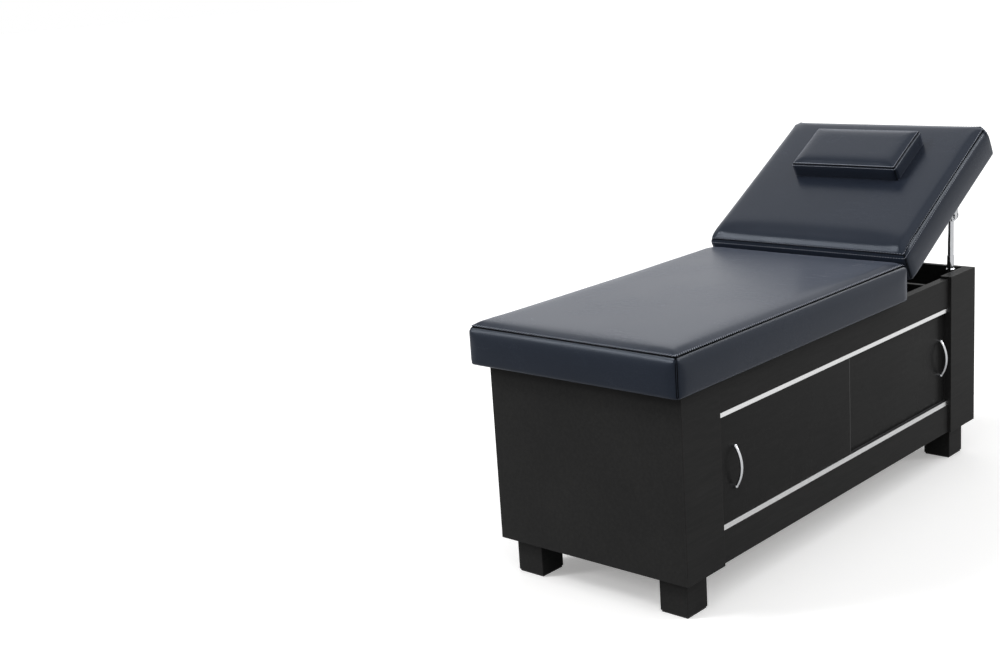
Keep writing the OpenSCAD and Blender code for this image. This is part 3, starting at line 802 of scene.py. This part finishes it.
@dataclass
class Cushion:
    """A boxed cushion: a sewn top panel, boxing round it, and a stapled underside.

    x0, x1, y, z0 and z1 are its flat box: two ends, half width, underside and seam height.
    Pairs of values are for the x0 end and the x1 end. upright_ends says which end has seams
    down its corners, and still_ends which end keeps its shape while the cover fills. skin and
    recess are depths inside the outline, in board margins: where the forming fades out, and
    where the recess for the board begins. edge_cuts are in rolls, side_cuts in millimetres,
    and top_rings in corner roundings. One cut in recess_cuts also runs through the recess.
    """

    name: str
    node: str
    body: str
    x0: float
    x1: float
    y: float
    z0: float
    z1: float
    palette: Palette
    crown: float = 12 * MM
    corner: float = 12 * MM
    tuck: float = 7 * MM
    roll: float = 30 * MM
    shoulder: float = 1.8
    pull: float = 12.0 * MM
    pull_reach: float = 34 * MM
    corner_pull: float = 6.0 * MM
    corner_reach: float = 34 * MM
    swell: float = 3.0 * MM
    draw_in: float = 2 * MM
    cell: float = 10.5 * MM
    puff: float = 4.0 * MM
    evened: int = 6
    seam_width: float = 6.0 * MM
    seam_depth: float = 3.6 * MM
    plan_corners: Pair = (7 * MM, 7 * MM)
    end_round: float = 0.0
    low_end_drop: float = 0.0
    low_end_reach: float = 46 * MM
    board_margin: float = 10.3 * MM
    board_depth: float = 15.0 * MM
    still_ends: tuple[bool, bool] = (False, False)
    upright_ends: tuple[bool, bool] = (True, True)
    rows: tuple[float, ...] = (8.0 * MM,)
    side_rows: tuple[float, ...] = ()
    stitch_pitch: float = 9.0 * MM
    stitch_length: float = 10.0 * MM
    thread_width: float = 1.9 * MM
    thread_rise: float = 0.6 * MM
    slant: float = math.radians(50)
    fill: float = 0.9
    turn: Matrix | None = None
    floor_under: Callable[[float, float], float] | None = None
    edge_cuts: tuple[float, ...] = (0.42, 0.56, 0.74, 0.93, 1.15)
    side_cuts: tuple[float, ...] = (5.5, 9.5, 14.5, 21, 29, 38, 48, 58, 68, 78, 88, 96)
    top_rings: tuple[float, ...] = (0.42, 0.36)
    recess_cuts: int = 5
    corner_steps: tuple[int, int] = (6, 2)
    seam_steps: int = 4
    seam_power: float = 2.6
    upright_depth: float = 0.7
    skin: float = 0.6
    recess: float = 0.8
    filling: Filling = Filling()

    @property
    def middle(self) -> Vector:
        """The middle of the cushion in plan."""
        return Vector(((self.x0 + self.x1) / 2, 0.0, 0.0))

    @property
    def half_x(self) -> float:
        """Half the length of the cushion."""
        return (self.x1 - self.x0) / 2

    def end(self, p: Vector) -> int:
        """The end that a point is nearer to: 0 for x0, 1 for x1."""
        return int(p.x > self.middle.x)

    def past(self, p: Vector, span: float) -> Pair:
        """How far a point lies past the lines at span inside an end and a side."""
        return (
            abs(p.x - self.middle.x) - (self.half_x - span),
            abs(p.y) - (self.y - span),
        )

    def depth_inside(self, p: Vector) -> float:
        """How far a point lies inside the rounded outline in plan."""
        qx, qy = self.past(p, self.corner)
        outside = math.hypot(max(qx, 0.0), max(qy, 0.0)) + min(max(qx, qy), 0.0)
        return self.corner - outside

    def corner_gap(self, p: Vector) -> float:
        """How far a point of the boxing lies from the nearest corner seam, in plan."""
        return math.hypot(self.half_x - abs(p.x - self.middle.x), self.y - abs(p.y))

    def cuts(self, low: float, high: float) -> list[float]:
        """Places of the cuts across one direction, closer near both ends."""
        near = [share * self.roll for share in self.edge_cuts]
        first, last = low + near[-1], high - near[-1]
        count = max(2, round((last - first) / self.cell))
        between = [first + (last - first) * i / count for i in range(1, count)]
        return [low + n for n in near] + between + [high - n for n in reversed(near)]

    def block(self) -> bmesh.types.BMesh:
        """The flat block: rounded corners, rings round the top, a recess below, and a grid."""
        bm = bmesh.new()
        size = Vector((self.x1 - self.x0, 2 * self.y, self.z1 - self.z0))
        add_box(bm, Vector((self.middle.x, 0.0, (self.z0 + self.z1) / 2)), size)
        for end, sewn in enumerate(self.upright_ends):
            uprights = [
                e
                for e in bm.edges
                if abs(e.verts[0].co.z - e.verts[1].co.z) > self.corner
                and self.end(e.verts[0].co) == end
            ]
            bevel(bm, uprights, self.corner, self.corner_steps[sewn], clamp=True)
        low_ring = [e for e in bm.edges if all(abs(v.co.z - self.z0) < MM for v in e.verts)]
        bevel(bm, low_ring, self.tuck, 2, clamp=True)
        inset = bmesh.ops.inset_region
        top = max(bm.faces, key=lambda f: f.calc_center_median().z)
        for ring in self.top_rings:
            inset(bm, faces=[top], thickness=ring * self.corner, use_even_offset=True)
        under = min(bm.faces, key=lambda f: f.calc_center_median().z - f.calc_area())
        if self.board_depth:
            margin = max(self.board_margin - self.tuck, MM)
            inset(bm, faces=[under], thickness=margin, use_even_offset=True)
            inset(bm, faces=[under], thickness=MM / 4)
            lift = (0.0, 0.0, self.board_depth)
            bmesh.ops.translate(bm, verts=under.verts[:], vec=lift)
        for axis, low, high in ((0, self.x0, self.x1), (1, -self.y, self.y)):
            normal = Vector((axis == 0, axis == 1, 0.0))
            for number, place in enumerate(self.cuts(low, high)):
                through = number % self.recess_cuts == self.recess_cuts // 2
                whole = through or not self.board_depth
                self.cut(bm, normal * place, normal, None if whole else self.shows)
        upwards = Vector((0.0, 0.0, 1.0))
        for drop in self.side_cuts:
            height = self.z1 - drop * MM
            if height > self.z0 + 1.3 * self.tuck:
                self.cut(bm, upwards * height, upwards, self.outer)
        bm.normal_update()
        return bm

    def outer(self, face: bmesh.types.BMFace) -> bool:
        """Whether a face belongs to the boxing and not to the recess below."""
        return (
            abs(face.normal.z) < 0.5
            and self.depth_inside(face.calc_center_median()) < self.board_margin / 2
        )

    def shows(self, face: bmesh.types.BMFace) -> bool:
        """Whether a face isn't part of the recess that the board fills."""
        middle = face.calc_center_median()
        return middle.z > self.z1 - MM or self.depth_inside(middle) < self.board_margin * 1.1

    @staticmethod
    def cut(
        bm: bmesh.types.BMesh,
        point: Vector,
        normal: Vector,
        wanted: Callable[[bmesh.types.BMFace], bool] | None = None,
    ) -> None:
        """Cuts the faces that are wanted, or all of them, along a plane."""
        faces = [f for f in bm.faces if wanted is None or wanted(f)]
        edges = {e for f in faces for e in f.edges}
        verts = {v for f in faces for v in f.verts}
        geom = [*faces, *edges, *verts]
        bmesh.ops.bisect_plane(bm, geom=geom, dist=1e-6, plane_co=point, plane_no=normal)

    def find_seams(self, bm: bmesh.types.BMesh) -> None:
        """Marks the edges of the seam round the top and of the corner seams."""
        for edge in bm.edges:
            a, b = (v.co for v in edge.verts)
            ring = all(
                abs(p.z - self.z1) < CLOSE and self.depth_inside(p) < MM / 2
                for p in (a, b)
            )
            upright = (
                abs(a.x - b.x) + abs(a.y - b.y) < CLOSE
                and min(a.z, b.z) > self.z0 + 0.9 * self.tuck
                and all(self.on_corner(p) for p in (a, b))
                and self.upright_ends[self.end(a)]
            )
            edge.seam = ring or upright

    def on_corner(self, p: Vector) -> bool:
        """Whether a point of the boxing lies on the middle line of a corner."""
        ux, uy = self.past(p, self.corner)
        return ux > 0 and abs(ux - uy) < 2 * CLOSE and math.hypot(ux, uy) > 0.9 * self.corner

    def rise(self, depth: float) -> float:
        """The share of the crown that is reached at a depth inside one side."""
        share = min(1.0, max(depth, 0.0) / self.roll)
        return 1 - (1 - share) ** self.shoulder

    def corner_reach_at(self, angle: float, span: float, radius: float) -> float:
        """How far a corner's outline lies along a direction.

        Args:
            angle: direction from the corner's centre square.
            span: side of the square that the corner is drawn in.
            radius: rounding of the corner.

        Returns:
            The distance from the square's inner point to the outline.
        """
        flat = span / max(math.cos(angle), math.sin(angle))
        inner = span - radius
        towards = inner * (math.cos(angle) + math.sin(angle))
        under = towards**2 - 2 * inner**2 + radius**2
        return min(flat, towards + math.sqrt(under)) if under > 0 else flat

    def reshaped(self, p: Vector) -> Vector:
        """A point moved so that the plan corners get the radius of their end.

        The recess for the board stays, and what lies just outside it fades towards it.
        """
        target = self.plan_corners[self.end(p)]
        span = max(self.corner, target)
        u, v = self.past(p, span)
        kept = 0.0
        if p.z < self.z0 + self.board_depth + MM:
            depth = max(0.0, self.depth_inside(p))
            kept = min(1.0, depth / (self.recess * self.board_margin))
            if kept < 1 and target <= self.corner:
                kept = 0.0
        if u <= 0 or v <= 0 or kept == 1:
            return p.copy()
        angle = math.atan2(v, u)
        wanted, drawn = (self.corner_reach_at(angle, span, r) for r in (target, self.corner))
        share = wanted / drawn
        share += (1 - share) * kept
        ways = (math.copysign(1.0, p.x - self.middle.x), math.copysign(1.0, p.y))
        x, y = p.x + ways[0] * u * (share - 1), p.y + ways[1] * v * (share - 1)
        return Vector((x, y, p.z))

    def seam_height(self, x: float) -> float:
        """The height of the top seam, which lies lower towards the x0 end."""
        share = max(0.0, 1 - max(0.0, x - self.x0) / self.low_end_reach)
        return self.z1 - self.low_end_drop * share**2

    def rolled(self, p: Vector) -> Vector:
        """A point moved so that the top rolls down over the x0 end."""
        base = self.z0 + 2 * self.board_depth
        share = min(1.0, max(0.0, (p.z - base) / (self.z1 - base)))
        return Vector((p.x, p.y, p.z + share * (self.seam_height(p.x) - self.z1)))

    def form(self, bm: bmesh.types.BMesh) -> None:
        """Gives the block its crown, its drawn-in seams and sides and its rounded end."""
        skin = self.board_margin * self.skin
        for vert in bm.verts:
            p = vert.co.copy()
            inside = self.depth_inside(p)
            if p.z > self.z1 - CLOSE:
                vert.co.z += self.crown * self.rise(self.half_x - abs(p.x - self.middle.x))
                vert.co.z = self.z1 + (vert.co.z - self.z1) * self.rise(self.y - abs(p.y))
            if inside < skin:
                fade = 1.0 - max(0.0, inside) / skin
                vert.co -= self.drawn_in(p) * fade
            vert.co = self.rolled(self.reshaped(vert.co))
        if self.end_round:
            self.round_end(bm)
        bm.normal_update()

    def drawn_in(self, p: Vector) -> Vector:
        """How far the seams and the filling draw a point of the boxing inwards."""
        along_x = min(1.0, abs(p.x - self.middle.x) / self.half_x)
        along_y = min(1.0, abs(p.y) / self.y)
        near_seam = max(0.0, 1 - (self.z1 - p.z) / self.pull_reach)
        near_corner = max(0.0, 1 - self.corner_gap(p) / self.corner_reach)
        near_corner *= self.upright_ends[self.end(p)]
        at_seam = self.pull * near_seam**self.seam_power
        pinch = max(at_seam, self.corner_pull * near_corner**2) - self.swell
        out = Vector((p.x - self.middle.x, p.y, 0.0))
        qx = max(abs(out.x) - (self.half_x - self.corner), 0.0)
        qy = max(abs(out.y) - (self.y - self.corner), 0.0)
        way = Vector((math.copysign(qx, out.x), math.copysign(qy, out.y), 0.0))
        if way.length > 0:
            way.normalize()
        bow = self.draw_in * ((1 - along_x**2) * abs(way.y) + (1 - along_y**2) * abs(way.x))
        return way * (pinch + bow)

    def round_end(self, bm: bmesh.types.BMesh) -> None:
        """Rounds the top edge at the x1 end."""
        radius = self.end_round
        for vert in bm.verts:
            u = vert.co.x - (self.x1 - radius)
            v = vert.co.z - (self.z1 - radius)
            if u > 0 and v > 0:
                share = min(1.0, u / radius)
                limit = radius + max(0.0, v - radius) * (1 - share**2)
                reach = math.hypot(u, v)
                if reach > limit:
                    vert.co.x = self.x1 - radius + u * limit / reach
                    vert.co.z = self.z1 - radius + v * limit / reach

    def held(self, vert: bmesh.types.BMVert) -> bool:
        """Whether a point is held while the cover fills: seams, underside, still ends."""
        p = vert.co
        at_low = self.still_ends[0] and p.x < self.x0 + self.corner
        at_high = self.still_ends[1] and p.x > self.x1 - self.corner
        in_recess = (
            self.board_depth > 0
            and p.z < self.z0 + self.board_depth + MM
            and self.depth_inside(p) > self.board_margin * self.recess
        )
        return (
            any(e.seam for e in vert.link_edges)
            or p.z < self.z0 + self.tuck
            or in_recess
            or ((at_low or at_high) and p.z < self.z1)
        )

    def fill_cover(self, bm: bmesh.types.BMesh) -> None:
        """Blows the cover up with a short cloth simulation and keeps each point near home."""
        mesh = bpy.data.meshes.new("filling")
        bm.verts.index_update()
        bm.to_mesh(mesh)
        start = np.array([v.co[:] for v in bm.verts])
        ends = np.array([[v.index for v in e.verts] for e in bm.edges])
        free = np.array([[not self.held(v)] for v in bm.verts], dtype=float)
        made = bpy.data.objects.new("filling", mesh)
        bpy.context.collection.objects.link(made)
        group = made.vertex_groups.new(name="held")
        group.add(np.flatnonzero(free[:, 0] == 0).tolist(), 1.0, "REPLACE")
        moved = self.filling.blow_up(made, "held") - start
        bpy.data.objects.remove(made)
        bpy.data.meshes.remove(mesh)
        length = np.linalg.norm(moved, axis=1, keepdims=True)
        LOG.info("%s cover moved up to %.1f mm before the cap", self.name, length.max() / MM)
        eased = self.puff * np.tanh(length / self.puff) / np.maximum(length, 1e-9)
        moved = moved * eased
        links = np.bincount(ends.ravel(), minlength=len(start))[:, None]
        for _ in range(self.evened):
            total = np.zeros_like(moved)
            np.add.at(total, ends[:, 0], moved[ends[:, 1]])
            np.add.at(total, ends[:, 1], moved[ends[:, 0]])
            moved = (moved + total / links) / 2 * free
        for vert, place in zip(bm.verts, start + moved):
            vert.co = place

    def settle(self, bm: bmesh.types.BMesh) -> None:
        """Lays the underside on what the cushion rests on."""
        if self.floor_under is None:
            return
        for vert in bm.verts:
            if vert.co.z < self.z0 + self.tuck * 0.6:
                rise = vert.co.z - self.z0
                vert.co.z = self.floor_under(vert.co.x, vert.co.y) + rise + 0.2 * MM

    def sew(self, bm: bmesh.types.BMesh) -> None:
        """Sinks a channel along the top seam, and two beside the fold of a corner seam, and
        paints their faces near-black as painted shade.
        """
        seams = [e for e in bm.edges if e.seam]
        whole = BVHTree.FromBMesh(bm)
        made = bevel(bm, seams, self.seam_width / 2, self.seam_steps)
        for vert in made["verts"]:
            vert.co = whole.find_nearest(vert.co)[0]
        strip = set(made["faces"])
        bm.normal_update()
        inner = {v for v in made["verts"] if all(f in strip for f in v.link_faces)}
        middle = {
            v for v in inner if all(e.other_vert(v) in inner for e in v.link_edges)
        }
        # Painted shade: the whole top channel, and the outer faces of each corner channel,
        # take the near-black second slot.
        for face in strip:
            centre = face.calc_center_median()
            upright = centre.z < self.seam_height(centre.x) - self.seam_width
            at_edge = any(v not in inner for v in face.verts)
            face.material_index = int(at_edge or not upright)
        moves = []
        for vert in inner:
            upright = vert.co.z < self.seam_height(vert.co.x) - self.seam_width
            if (vert in middle) != upright:
                share = self.upright_depth if upright else 1.0
                moves.append((vert, vert.normal * self.seam_depth * share))
        for vert, move in moves:
            vert.co -= move

    def path(self, inset: float, height: float) -> list[Vector]:
        """A closed line of points along the rounded outline, at the stitch pitch."""
        radius = max(self.corner - inset, MM)
        half_x = self.half_x - inset - radius
        half_y = self.y - inset - radius
        outline: list[Vector] = []
        for turn, (sx, sy) in enumerate(((1, 1), (-1, 1), (-1, -1), (1, -1))):
            for step in range(9):
                angle = math.radians(90 * turn + 90 * step / 8)
                x = self.middle.x + sx * half_x + radius * math.cos(angle)
                y = sy * half_y + radius * math.sin(angle)
                outline.append(Vector((x, y, height)))
        outline = [self.rolled(self.reshaped(p)) for p in outline]
        return spaced(outline + outline[:1], self.stitch_pitch)

    def stitches(self, cover: bpy.types.Object) -> bpy.types.Object:
        """Rows of stitches beside the seams, laid on the finished cover."""
        tree = surface(cover)
        rows = [self.path(inset, self.z1 + self.crown / 2) for inset in self.rows]
        rows += [self.path(0.0, self.z1 - drop) for drop in self.side_rows]
        places = []
        for row in rows:
            for a, b in zip(row, row[1:]):
                hit, normal, _, _ = tree.find_nearest((a + b) / 2)
                along = ((b - a) - normal * (b - a).dot(normal)).normalized()
                along = Matrix.Rotation(self.slant, 3, normal) @ along
                places.append(seat(hit, along, normal))
        size = Vector((self.stitch_length / 2, self.thread_width / 2, self.thread_rise))
        return repeated(self.name + "_stitches", places, size, self.palette.thread)

    def build(self) -> bpy.types.Object:
        """Makes the cushion and its stitches.

        Returns:
            The cushion.
        """
        bm = self.block()
        self.find_seams(bm)
        self.form(bm)
        self.fill_cover(bm)
        self.settle(bm)
        self.sew(bm)
        bmesh.ops.recalc_face_normals(bm, faces=bm.faces[:])
        cover = piece(bm, self.name, self.palette.leatherette)
        # The second slot holds the near-black painted shade of the seam channels.
        cover.data.materials.append(self.palette.seam_painted_shade)
        smooth = cover.modifiers.new("smooth", "SUBSURF")
        smooth.levels = smooth.render_levels = 1
        bake_modifiers(cover)
        self.open_notches(cover)
        threads = self.stitches(cover)
        for made, slot in ((cover, "leatherette"), (threads, "leatherette")):
            if self.turn is not None:
                made.data.transform(self.turn)
            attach(made, self.body)
        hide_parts(self.node)
        counts = [len(made.data.polygons) for made in (cover, threads)]
        LOG.info("cushion %s: %d faces, %d in its stitches", self.name, *counts)
        return cover

    def open_notches(self, cover: bpy.types.Object) -> None:
        """Leaves the cover whole. A cushion over the hinges opens notches here."""


@dataclass
class Mattress(Cushion):
    """The seat cushion, with a notch round each hinge at its fold end."""

    notch_x: float = 0.1936
    notch_y: Pair = (0.246, 0.2655)
    notch_top: float = 0.702
    overcut: float = 10 * MM

    def open_notches(self, cover: bpy.types.Object) -> None:
        """Cuts the two hinge notches out of the finished cover."""
        bm = bmesh.new()
        for side in (-1, 1):
            near, far = sorted(side * y for y in self.notch_y)
            low = Vector((self.notch_x, near, self.z0 - self.overcut))
            high = Vector((self.x1 + 2 * self.overcut, far, self.notch_top))
            add_box(bm, (low + high) / 2, high - low)
        tool = piece(bm, "notch_tool", self.palette.leatherette)
        cut = cover.modifiers.new("notches", "BOOLEAN")
        cut.operation = "DIFFERENCE"
        cut.solver = "EXACT"
        cut.object = tool
        bake_modifiers(cover)
        bpy.data.objects.remove(tool)


def surface(made: bpy.types.Object) -> BVHTree:
    """An object's faces, ready to be searched for the nearest one."""
    mesh = made.data
    return BVHTree.FromPolygons(
        [v.co[:] for v in mesh.vertices], [p.vertices[:] for p in mesh.polygons]
    )


def spaced(line: Sequence[Vector], pitch: float) -> list[Vector]:
    """Points along a line at an even pitch."""
    lengths = [0.0]
    for a, b in zip(line, line[1:]):
        lengths.append(lengths[-1] + (b - a).length)
    count = max(2, round(lengths[-1] / pitch))
    found: list[Vector] = []
    part = 0
    for i in range(count + 1):
        goal = lengths[-1] * i / count
        while part < len(line) - 2 and lengths[part + 1] < goal:
            part += 1
        room = lengths[part + 1] - lengths[part]
        share = (goal - lengths[part]) / room if room else 0.0
        found.append(line[part].lerp(line[part + 1], share))
    return found


def seat(point: Vector, along: Vector, normal: Vector) -> Matrix:
    """The place of a small part on a surface: X along it, Z out of it."""
    axes = Matrix((along, normal.cross(along).normalized(), normal)).transposed()
    return Matrix.Translation(point) @ axes.to_4x4()


def repeated(
    name: str, places: Sequence[Matrix], size: Vector, material: bpy.types.Material
) -> bpy.types.Object:
    """One small bead set down at many places, as a single piece.

    Args:
        name: the name of the piece.
        places: where each bead goes.
        size: half sizes of a bead.
        material: its finish.

    Returns:
        The piece.
    """
    bm = bmesh.new()
    bmesh.ops.create_uvsphere(
        bm, u_segments=6, v_segments=4, radius=1.0, matrix=Matrix.Diagonal((*size, 1.0))
    )
    one = np.array([(*v.co, 1.0) for v in bm.verts])
    made = piece(bm, name, material)
    row = made.modifiers.new("row", "ARRAY")
    row.count = len(places)
    row.use_relative_offset = False
    bake_modifiers(made)
    where = np.einsum("pij,vj->pvi", np.array([m[:] for m in places]), one)
    made.data.vertices.foreach_set("co", where[:, :, :3].astype(np.float32).ravel())
    made.data.update()
    return made


@dataclass
class Upholstery:
    """The mattress, the backrest and the pillow."""

    palette: Palette
    pivot: Vector = field(default_factory=lambda: Vector((0.209645, 0.0, 0.686)))
    angle: float = math.radians(29)
    half_width: float = 0.350

    def turned(self) -> Matrix:
        """Turns what was drawn flat up to the rest pose of the backrest."""
        return (
            Matrix.Translation(self.pivot)
            @ Matrix.Rotation(-self.angle, 4, "Y")
            @ Matrix.Translation(-self.pivot)
        )

    def build(self) -> None:
        """Makes the three cushions."""
        Mattress(
            name="mattress",
            node="mattress_cushion",
            body="cabinet",
            x0=-0.880355,
            x1=0.299645,
            y=self.half_width,
            z0=0.624,
            z1=0.732,
            palette=self.palette,
            end_round=22 * MM,
            still_ends=(False, True),
        ).build()
        backrest = Cushion(
            name="backrest",
            node="backrest_cushion",
            body="backrest",
            x0=0.305645,
            x1=0.945645,
            y=self.half_width,
            z0=0.6245,
            z1=0.7265,
            palette=self.palette,
            still_ends=(True, False),
            upright_ends=(True, False),
            low_end_drop=12 * MM,
            plan_corners=(7 * MM, 27 * MM),
            seam_width=4.4 * MM,
            seam_depth=3.0 * MM,
            rows=(6.2 * MM,),
            side_rows=(6.2 * MM,),
            stitch_length=6.4 * MM,
            slant=math.radians(6),
        )
        flat = self.flat_copy(backrest)
        Cushion(
            name="head_pillow",
            node="pillow",
            body="backrest",
            x0=0.629,
            x1=0.829,
            y=0.1855,
            z0=0.7385,
            z1=0.7905,
            palette=self.palette,
            crown=8 * MM,
            corner=10 * MM,
            plan_corners=(6 * MM, 6 * MM),
            tuck=3.5 * MM,
            roll=24 * MM,
            pull=5.5 * MM,
            pull_reach=24 * MM,
            corner_pull=3.5 * MM,
            corner_reach=20 * MM,
            swell=2.0 * MM,
            draw_in=1.5 * MM,
            cell=7.5 * MM,
            puff=3 * MM,
            seam_width=3.6 * MM,
            seam_depth=2.4 * MM,
            board_depth=0.0,
            rows=(5.0 * MM,),
            side_rows=(5.0 * MM,),
            stitch_pitch=5.5 * MM,
            stitch_length=4.8 * MM,
            slant=math.radians(6),
            turn=self.turned(),
            fill=0.8,
            floor_under=flat,
        ).build()

    def flat_copy(self, backrest: Cushion) -> Callable[[float, float], float]:
        """Builds the backrest flat, keeps its top for the pillow, then raises it.

        Args:
            backrest: the backrest cushion, not yet turned.

        Returns:
            A function that gives the height of its flat top at a place.
        """
        cover = backrest.build()
        tree = surface(cover)
        for made in (cover, bpy.data.objects[backrest.name + "_stitches"]):
            made.data.transform(self.turned())

        def height(x: float, y: float) -> float:
            """The height of the backrest's flat top at x and y."""
            hit = tree.ray_cast(Vector((x, y, 1.0)), Vector((0.0, 0.0, -1.0)))[0]
            return hit.z if hit else backrest.z1 + backrest.crown

        return height


# ------------------------------------------------------------------ studio


@dataclass
class Studio:
    """A white studio: the floor, the light and the camera."""

    floor_half: float = 60.0
    bounce: float = 0.24
    glow: float = 0.28
    glow_tint: Colour = (1.0, 0.99, 0.98)
    lit: float = 1.0
    mirrored: float = 0.76
    fill: float = 0.34
    lamps: tuple[tuple[str, float, float, Colour], ...] = (
        ("key_lamp", 1.05, math.radians(70), (-0.28, -0.42, 1.0)),
        ("foot_lamp", 0.85, math.radians(14), (-0.67, 0.58, 0.46)),
        ("high_foot_lamp", 0.75, math.radians(14), (-0.46, 0.53, 0.71)),
        ("head_lamp", 0.26, math.radians(12), (0.83, -0.36, 0.41)),
        ("side_lamp", 0.46, math.radians(13), (0.56, -0.69, 0.45)),
        ("back_lamp", 0.24, math.radians(40), (0.50, 0.42, 0.76)),
    )
    eye: Colour = (-3.70076, -2.4201, 1.6915)
    yaw: float = math.radians(46.813)
    pitch: float = math.radians(13.996)
    roll: float = math.radians(-4.046)
    lens: float = 53.63

    def seen(self, graph: Graph) -> Value:
        """1 for rays from the camera and for what mirrors and glass show, else 0."""
        paths = self.rays(graph)
        return paths[0].larger(paths[1]).larger(paths[2])

    @staticmethod
    def rays(graph: Graph) -> list[Value]:
        """The camera, glossy and transmission flags of a ray."""
        node = graph.node("ShaderNodeLightPath")
        return [
            Value(graph, node.outputs[name])
            for name in ("Is Camera Ray", "Is Glossy Ray", "Is Transmission Ray")
        ]

    def floor(self) -> None:
        """A wide white floor that throws little light back at the bed."""
        bm = bmesh.new()
        bmesh.ops.create_grid(bm, x_segments=2, y_segments=2, size=self.floor_half)
        material = bpy.data.materials.new("studio_floor")
        graph = Graph(material)
        camera, glossy, through = self.rays(graph)
        tones = [(tone, tone, tone) for tone in (self.bounce, self.mirrored, self.lit)]
        shown = graph.mix(glossy, tones[0], tones[1])
        shown = graph.mix(camera.larger(through), shown, tones[2])
        shade = graph.node("ShaderNodeBsdfDiffuse", None, {"Color": shown}).outputs[0]
        glow = {"Color": self.glow_tint, "Strength": camera * self.glow}
        shine = graph.node("ShaderNodeEmission", None, glow).outputs[0]
        both = graph.node("ShaderNodeAddShader", None, {0: shade, 1: shine}).outputs[0]
        graph.node("ShaderNodeOutputMaterial", None, {"Surface": both})
        piece(bm, "studio_floor", material)

    def light(self) -> None:
        """An even sky, a broad lamp over the near foot corner, and smaller ones."""
        world = bpy.data.worlds.new("studio_world")
        bpy.context.scene.world = world
        graph = Graph(world)
        strength = self.fill + (1.0 - self.fill) * self.seen(graph)
        white = {"Color": (1.0, 1.0, 1.0), "Strength": strength}
        sky = graph.node("ShaderNodeBackground", None, white)
        graph.node("ShaderNodeOutputWorld", None, {"Surface": sky.outputs[0]})
        for name, energy, spread, place in self.lamps:
            lamp = bpy.data.lights.new(name, "SUN")
            lamp.energy = energy
            lamp.angle = spread
            made = bpy.data.objects.new(name, lamp)
            made.rotation_euler = Vector(place).to_track_quat("Z", "Y").to_euler()
            bpy.context.collection.objects.link(made)

    def camera(self) -> None:
        """The camera at the photograph's viewing angle."""
        level = math.cos(self.pitch)
        ahead = Vector(
            (
                math.sin(self.yaw) * level,
                math.cos(self.yaw) * level,
                -math.sin(self.pitch),
            )
        )
        right = Vector((math.cos(self.yaw), -math.sin(self.yaw), 0.0))
        up = right.cross(ahead)
        side = right * math.cos(self.roll) + up * math.sin(self.roll)
        top = up * math.cos(self.roll) - right * math.sin(self.roll)
        data = bpy.data.cameras.new("camera")
        data.lens = self.lens
        data.sensor_width = 36.0
        data.sensor_fit = "HORIZONTAL"
        data.clip_end = 200.0
        made = bpy.data.objects.new("camera", data)
        turn = Matrix((side, top, -ahead)).transposed().to_4x4()
        made.matrix_world = Matrix.Translation(Vector(self.eye)) @ turn
        bpy.context.collection.objects.link(made)
        bpy.context.scene.camera = made

    def build(self) -> None:
        """Makes the camera, the floor and the lights, and sets plain colours."""
        self.camera()
        self.floor()
        self.light()
        bpy.context.scene.view_settings.view_transform = "Standard"


# ------------------------------------------------------------------ all of it


def main() -> None:
    """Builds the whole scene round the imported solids."""
    logging.basicConfig(level=logging.INFO, format="%(name)s: %(message)s")
    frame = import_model()
    Studio().build()
    palette = Palette()
    Cabinet(frame, palette).build()
    SlidingDoors(frame, palette).build()
    BackrestGear(frame, palette).build()
    Upholstery(palette).build()


if __name__ == "__main__":
    main()
